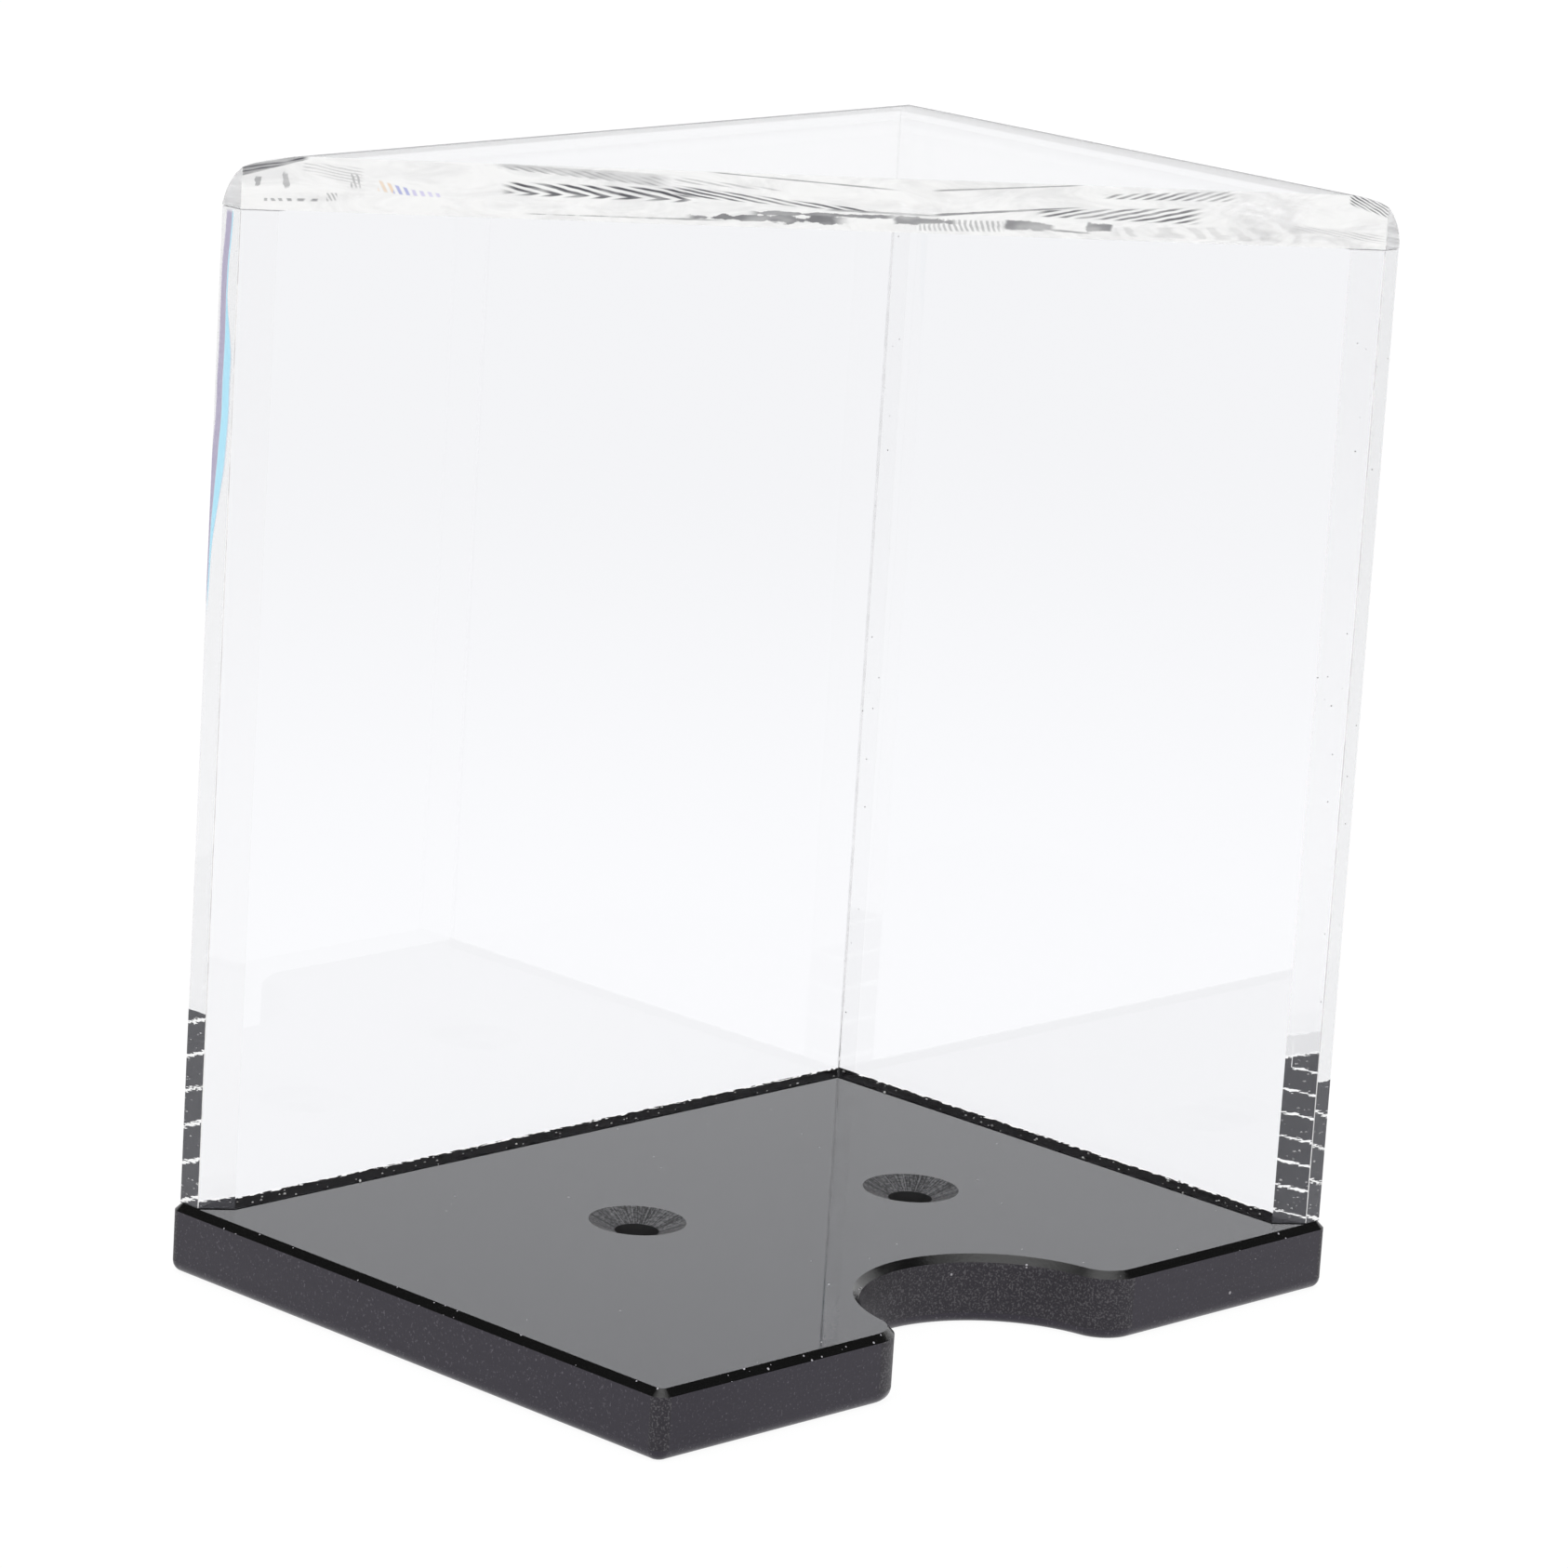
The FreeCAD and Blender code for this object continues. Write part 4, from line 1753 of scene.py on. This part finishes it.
@dataclass(frozen=True)
class PaleFloor(Finish):
    """White sweep under the object, with painted light falloff: its glow in reflections dims far away."""

    title: str = "pale_floor"
    colour: Colour = (0.9, 0.9, 0.9, 1.0)
    seen_colour: Colour = (0.985, 0.987, 1.0, 1.0)
    glow: float = 1.04
    glow_share: float = 0.9
    near: float = 60 * MM
    far: float = 520 * MM
    near_level: float = 1.005
    far_level: float = 0.925

    def shade(self, bench: Bench) -> bpy.types.NodeSocket:
        """Build a floor that is white to the camera and a little dimmer through the clear sheets, with
        painted light falloff that dims it further with distance.

        Args:
            bench: The tree to add to.

        Returns:
            The surface shader.
        """
        away = bench.add("ShaderNodeVectorMath", {"operation": "LENGTH"}, {0: bench.place()})
        # Painted light falloff: the floor's glow dims from near to far, standing in for studio light that
        # falls off away from the object.
        painted_light_falloff = Field(bench, away.outputs["Value"]).rise(self.near, self.far)
        path = bench.add("ShaderNodeLightPath")
        camera = Field(bench, path.outputs["Is Camera Ray"])
        seen = camera
        for kind in ("Is Glossy Ray", "Is Transmission Ray"):
            seen = seen.higher(Field(bench, path.outputs[kind]))
        level = self.near_level + painted_light_falloff * (self.far_level - self.near_level)
        level = level + camera * (self.glow - level)
        tint = bench.blend(camera, self.seen_colour, WHITE)
        glow = bench.add("ShaderNodeEmission", None, {"Color": bench.scaled(tint, level)}).outputs[0]
        return bench.mix(seen * self.glow_share, bench.diffuse(self.colour), glow)


@dataclass(frozen=True)
class DimPanel:
    """A dim part of the studio round about one direction, in degrees."""

    azimuth: float
    elevation: float
    core: float
    edge: float
    depth: float

    def aim(self, yaw: float) -> Vector:
        """Give the direction of the panel's middle.

        Args:
            yaw: Heading of the camera, from +Y toward +X, in radians.

        Returns:
            The unit direction, with the azimuth counted to the camera's right.
        """
        heading = yaw + math.radians(self.azimuth)
        lift = math.radians(self.elevation)
        level = math.cos(lift)
        return Vector((math.sin(heading) * level, math.cos(heading) * level, math.sin(lift)))


@dataclass(frozen=True)
class Studio:
    """Plain white studio with a few dim parts and a soft light overhead."""

    camera: PhotoCamera
    floor_size: float = 12.0
    white: float = 1.04
    soft_box: float = 66.0
    soft_box_fade: float = 6.0
    soft_box_level: float = 1.2
    panels: tuple[DimPanel, ...] = (
        DimPanel(azimuth=-66.0, elevation=43.0, core=14.0, edge=24.0, depth=0.93),
        DimPanel(azimuth=66.0, elevation=43.0, core=14.0, edge=24.0, depth=0.93),
    )

    def build_floor(self) -> bpy.types.Object:
        """Make the floor under the object.

        Returns:
            The floor.
        """
        half = self.floor_size / 2
        maker = bmesh.new()
        plan = ((-half, -half), (half, -half), (half, half), (-half, half))
        maker.faces.new([maker.verts.new((x, y, 0.0)) for x, y in plan])
        data = bpy.data.meshes.new("floor")
        maker.to_mesh(data)
        maker.free()
        data.materials.append(PaleFloor().material())
        floor = bpy.data.objects.new("floor", data)
        bpy.context.scene.collection.objects.link(floor)
        return floor

    def build_world(self) -> None:
        """Light the scene from all round, white to the camera."""
        world = bpy.data.worlds.new("studio")
        bpy.context.scene.world = world
        world.use_nodes = True
        bench = Bench(world.node_tree)
        direction = bench.add("ShaderNodeTexCoord").outputs["Generated"]
        parts = bench.add("ShaderNodeSeparateXYZ", None, {0: direction})
        x, y, height = (Field(bench, parts.outputs[place]) for place in range(3))
        lowest = math.radians(self.soft_box - self.soft_box_fade)
        highest = math.radians(self.soft_box + self.soft_box_fade)
        box = height.rise(math.sin(lowest), math.sin(highest))
        level = self.white + box * self.soft_box_level
        for panel in self.panels:
            aim = panel.aim(self.camera.yaw)
            facing = x * aim.x + y * aim.y + height * aim.z
            shade = facing.rise(math.cos(math.radians(panel.edge)), math.cos(math.radians(panel.core)))
            level = level * (1 - shade * panel.depth)
        glow = bench.scaled(WHITE[:3], level)
        studio = bench.add("ShaderNodeBackground", None, {"Color": glow}).outputs[0]
        white = bench.add("ShaderNodeBackground", None, {"Color": WHITE}).outputs[0]
        seen = bench.add("ShaderNodeLightPath").outputs["Is Camera Ray"]
        bench.add("ShaderNodeOutputWorld", None, {"Surface": bench.mix(Field(bench, seen), studio, white)})

    def build(self) -> None:
        """Build the floor and the light."""
        self.build_floor()
        self.build_world()


def set_view() -> None:
    """Show colours as they are, and let light pass through many clear faces."""
    scene = bpy.context.scene
    scene.view_settings.view_transform = "Standard"
    scene.cycles.max_bounces = LIGHT_BOUNCES
    scene.cycles.transmission_bounces = LIGHT_BOUNCES
    scene.cycles.glossy_bounces = LIGHT_BOUNCES
    scene.cycles.transparent_max_bounces = TRANSPARENT_BOUNCES


def main() -> None:
    """Build the holder, its studio and its camera."""
    logging.basicConfig(level=logging.INFO, format="%(name)s: %(message)s")
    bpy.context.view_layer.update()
    BasePlate().build()
    ClearHousing().build()
    build_cement()
    camera = PhotoCamera()
    camera.build()
    Studio(camera).build()
    set_view()


if __name__ == "__main__":
    main()
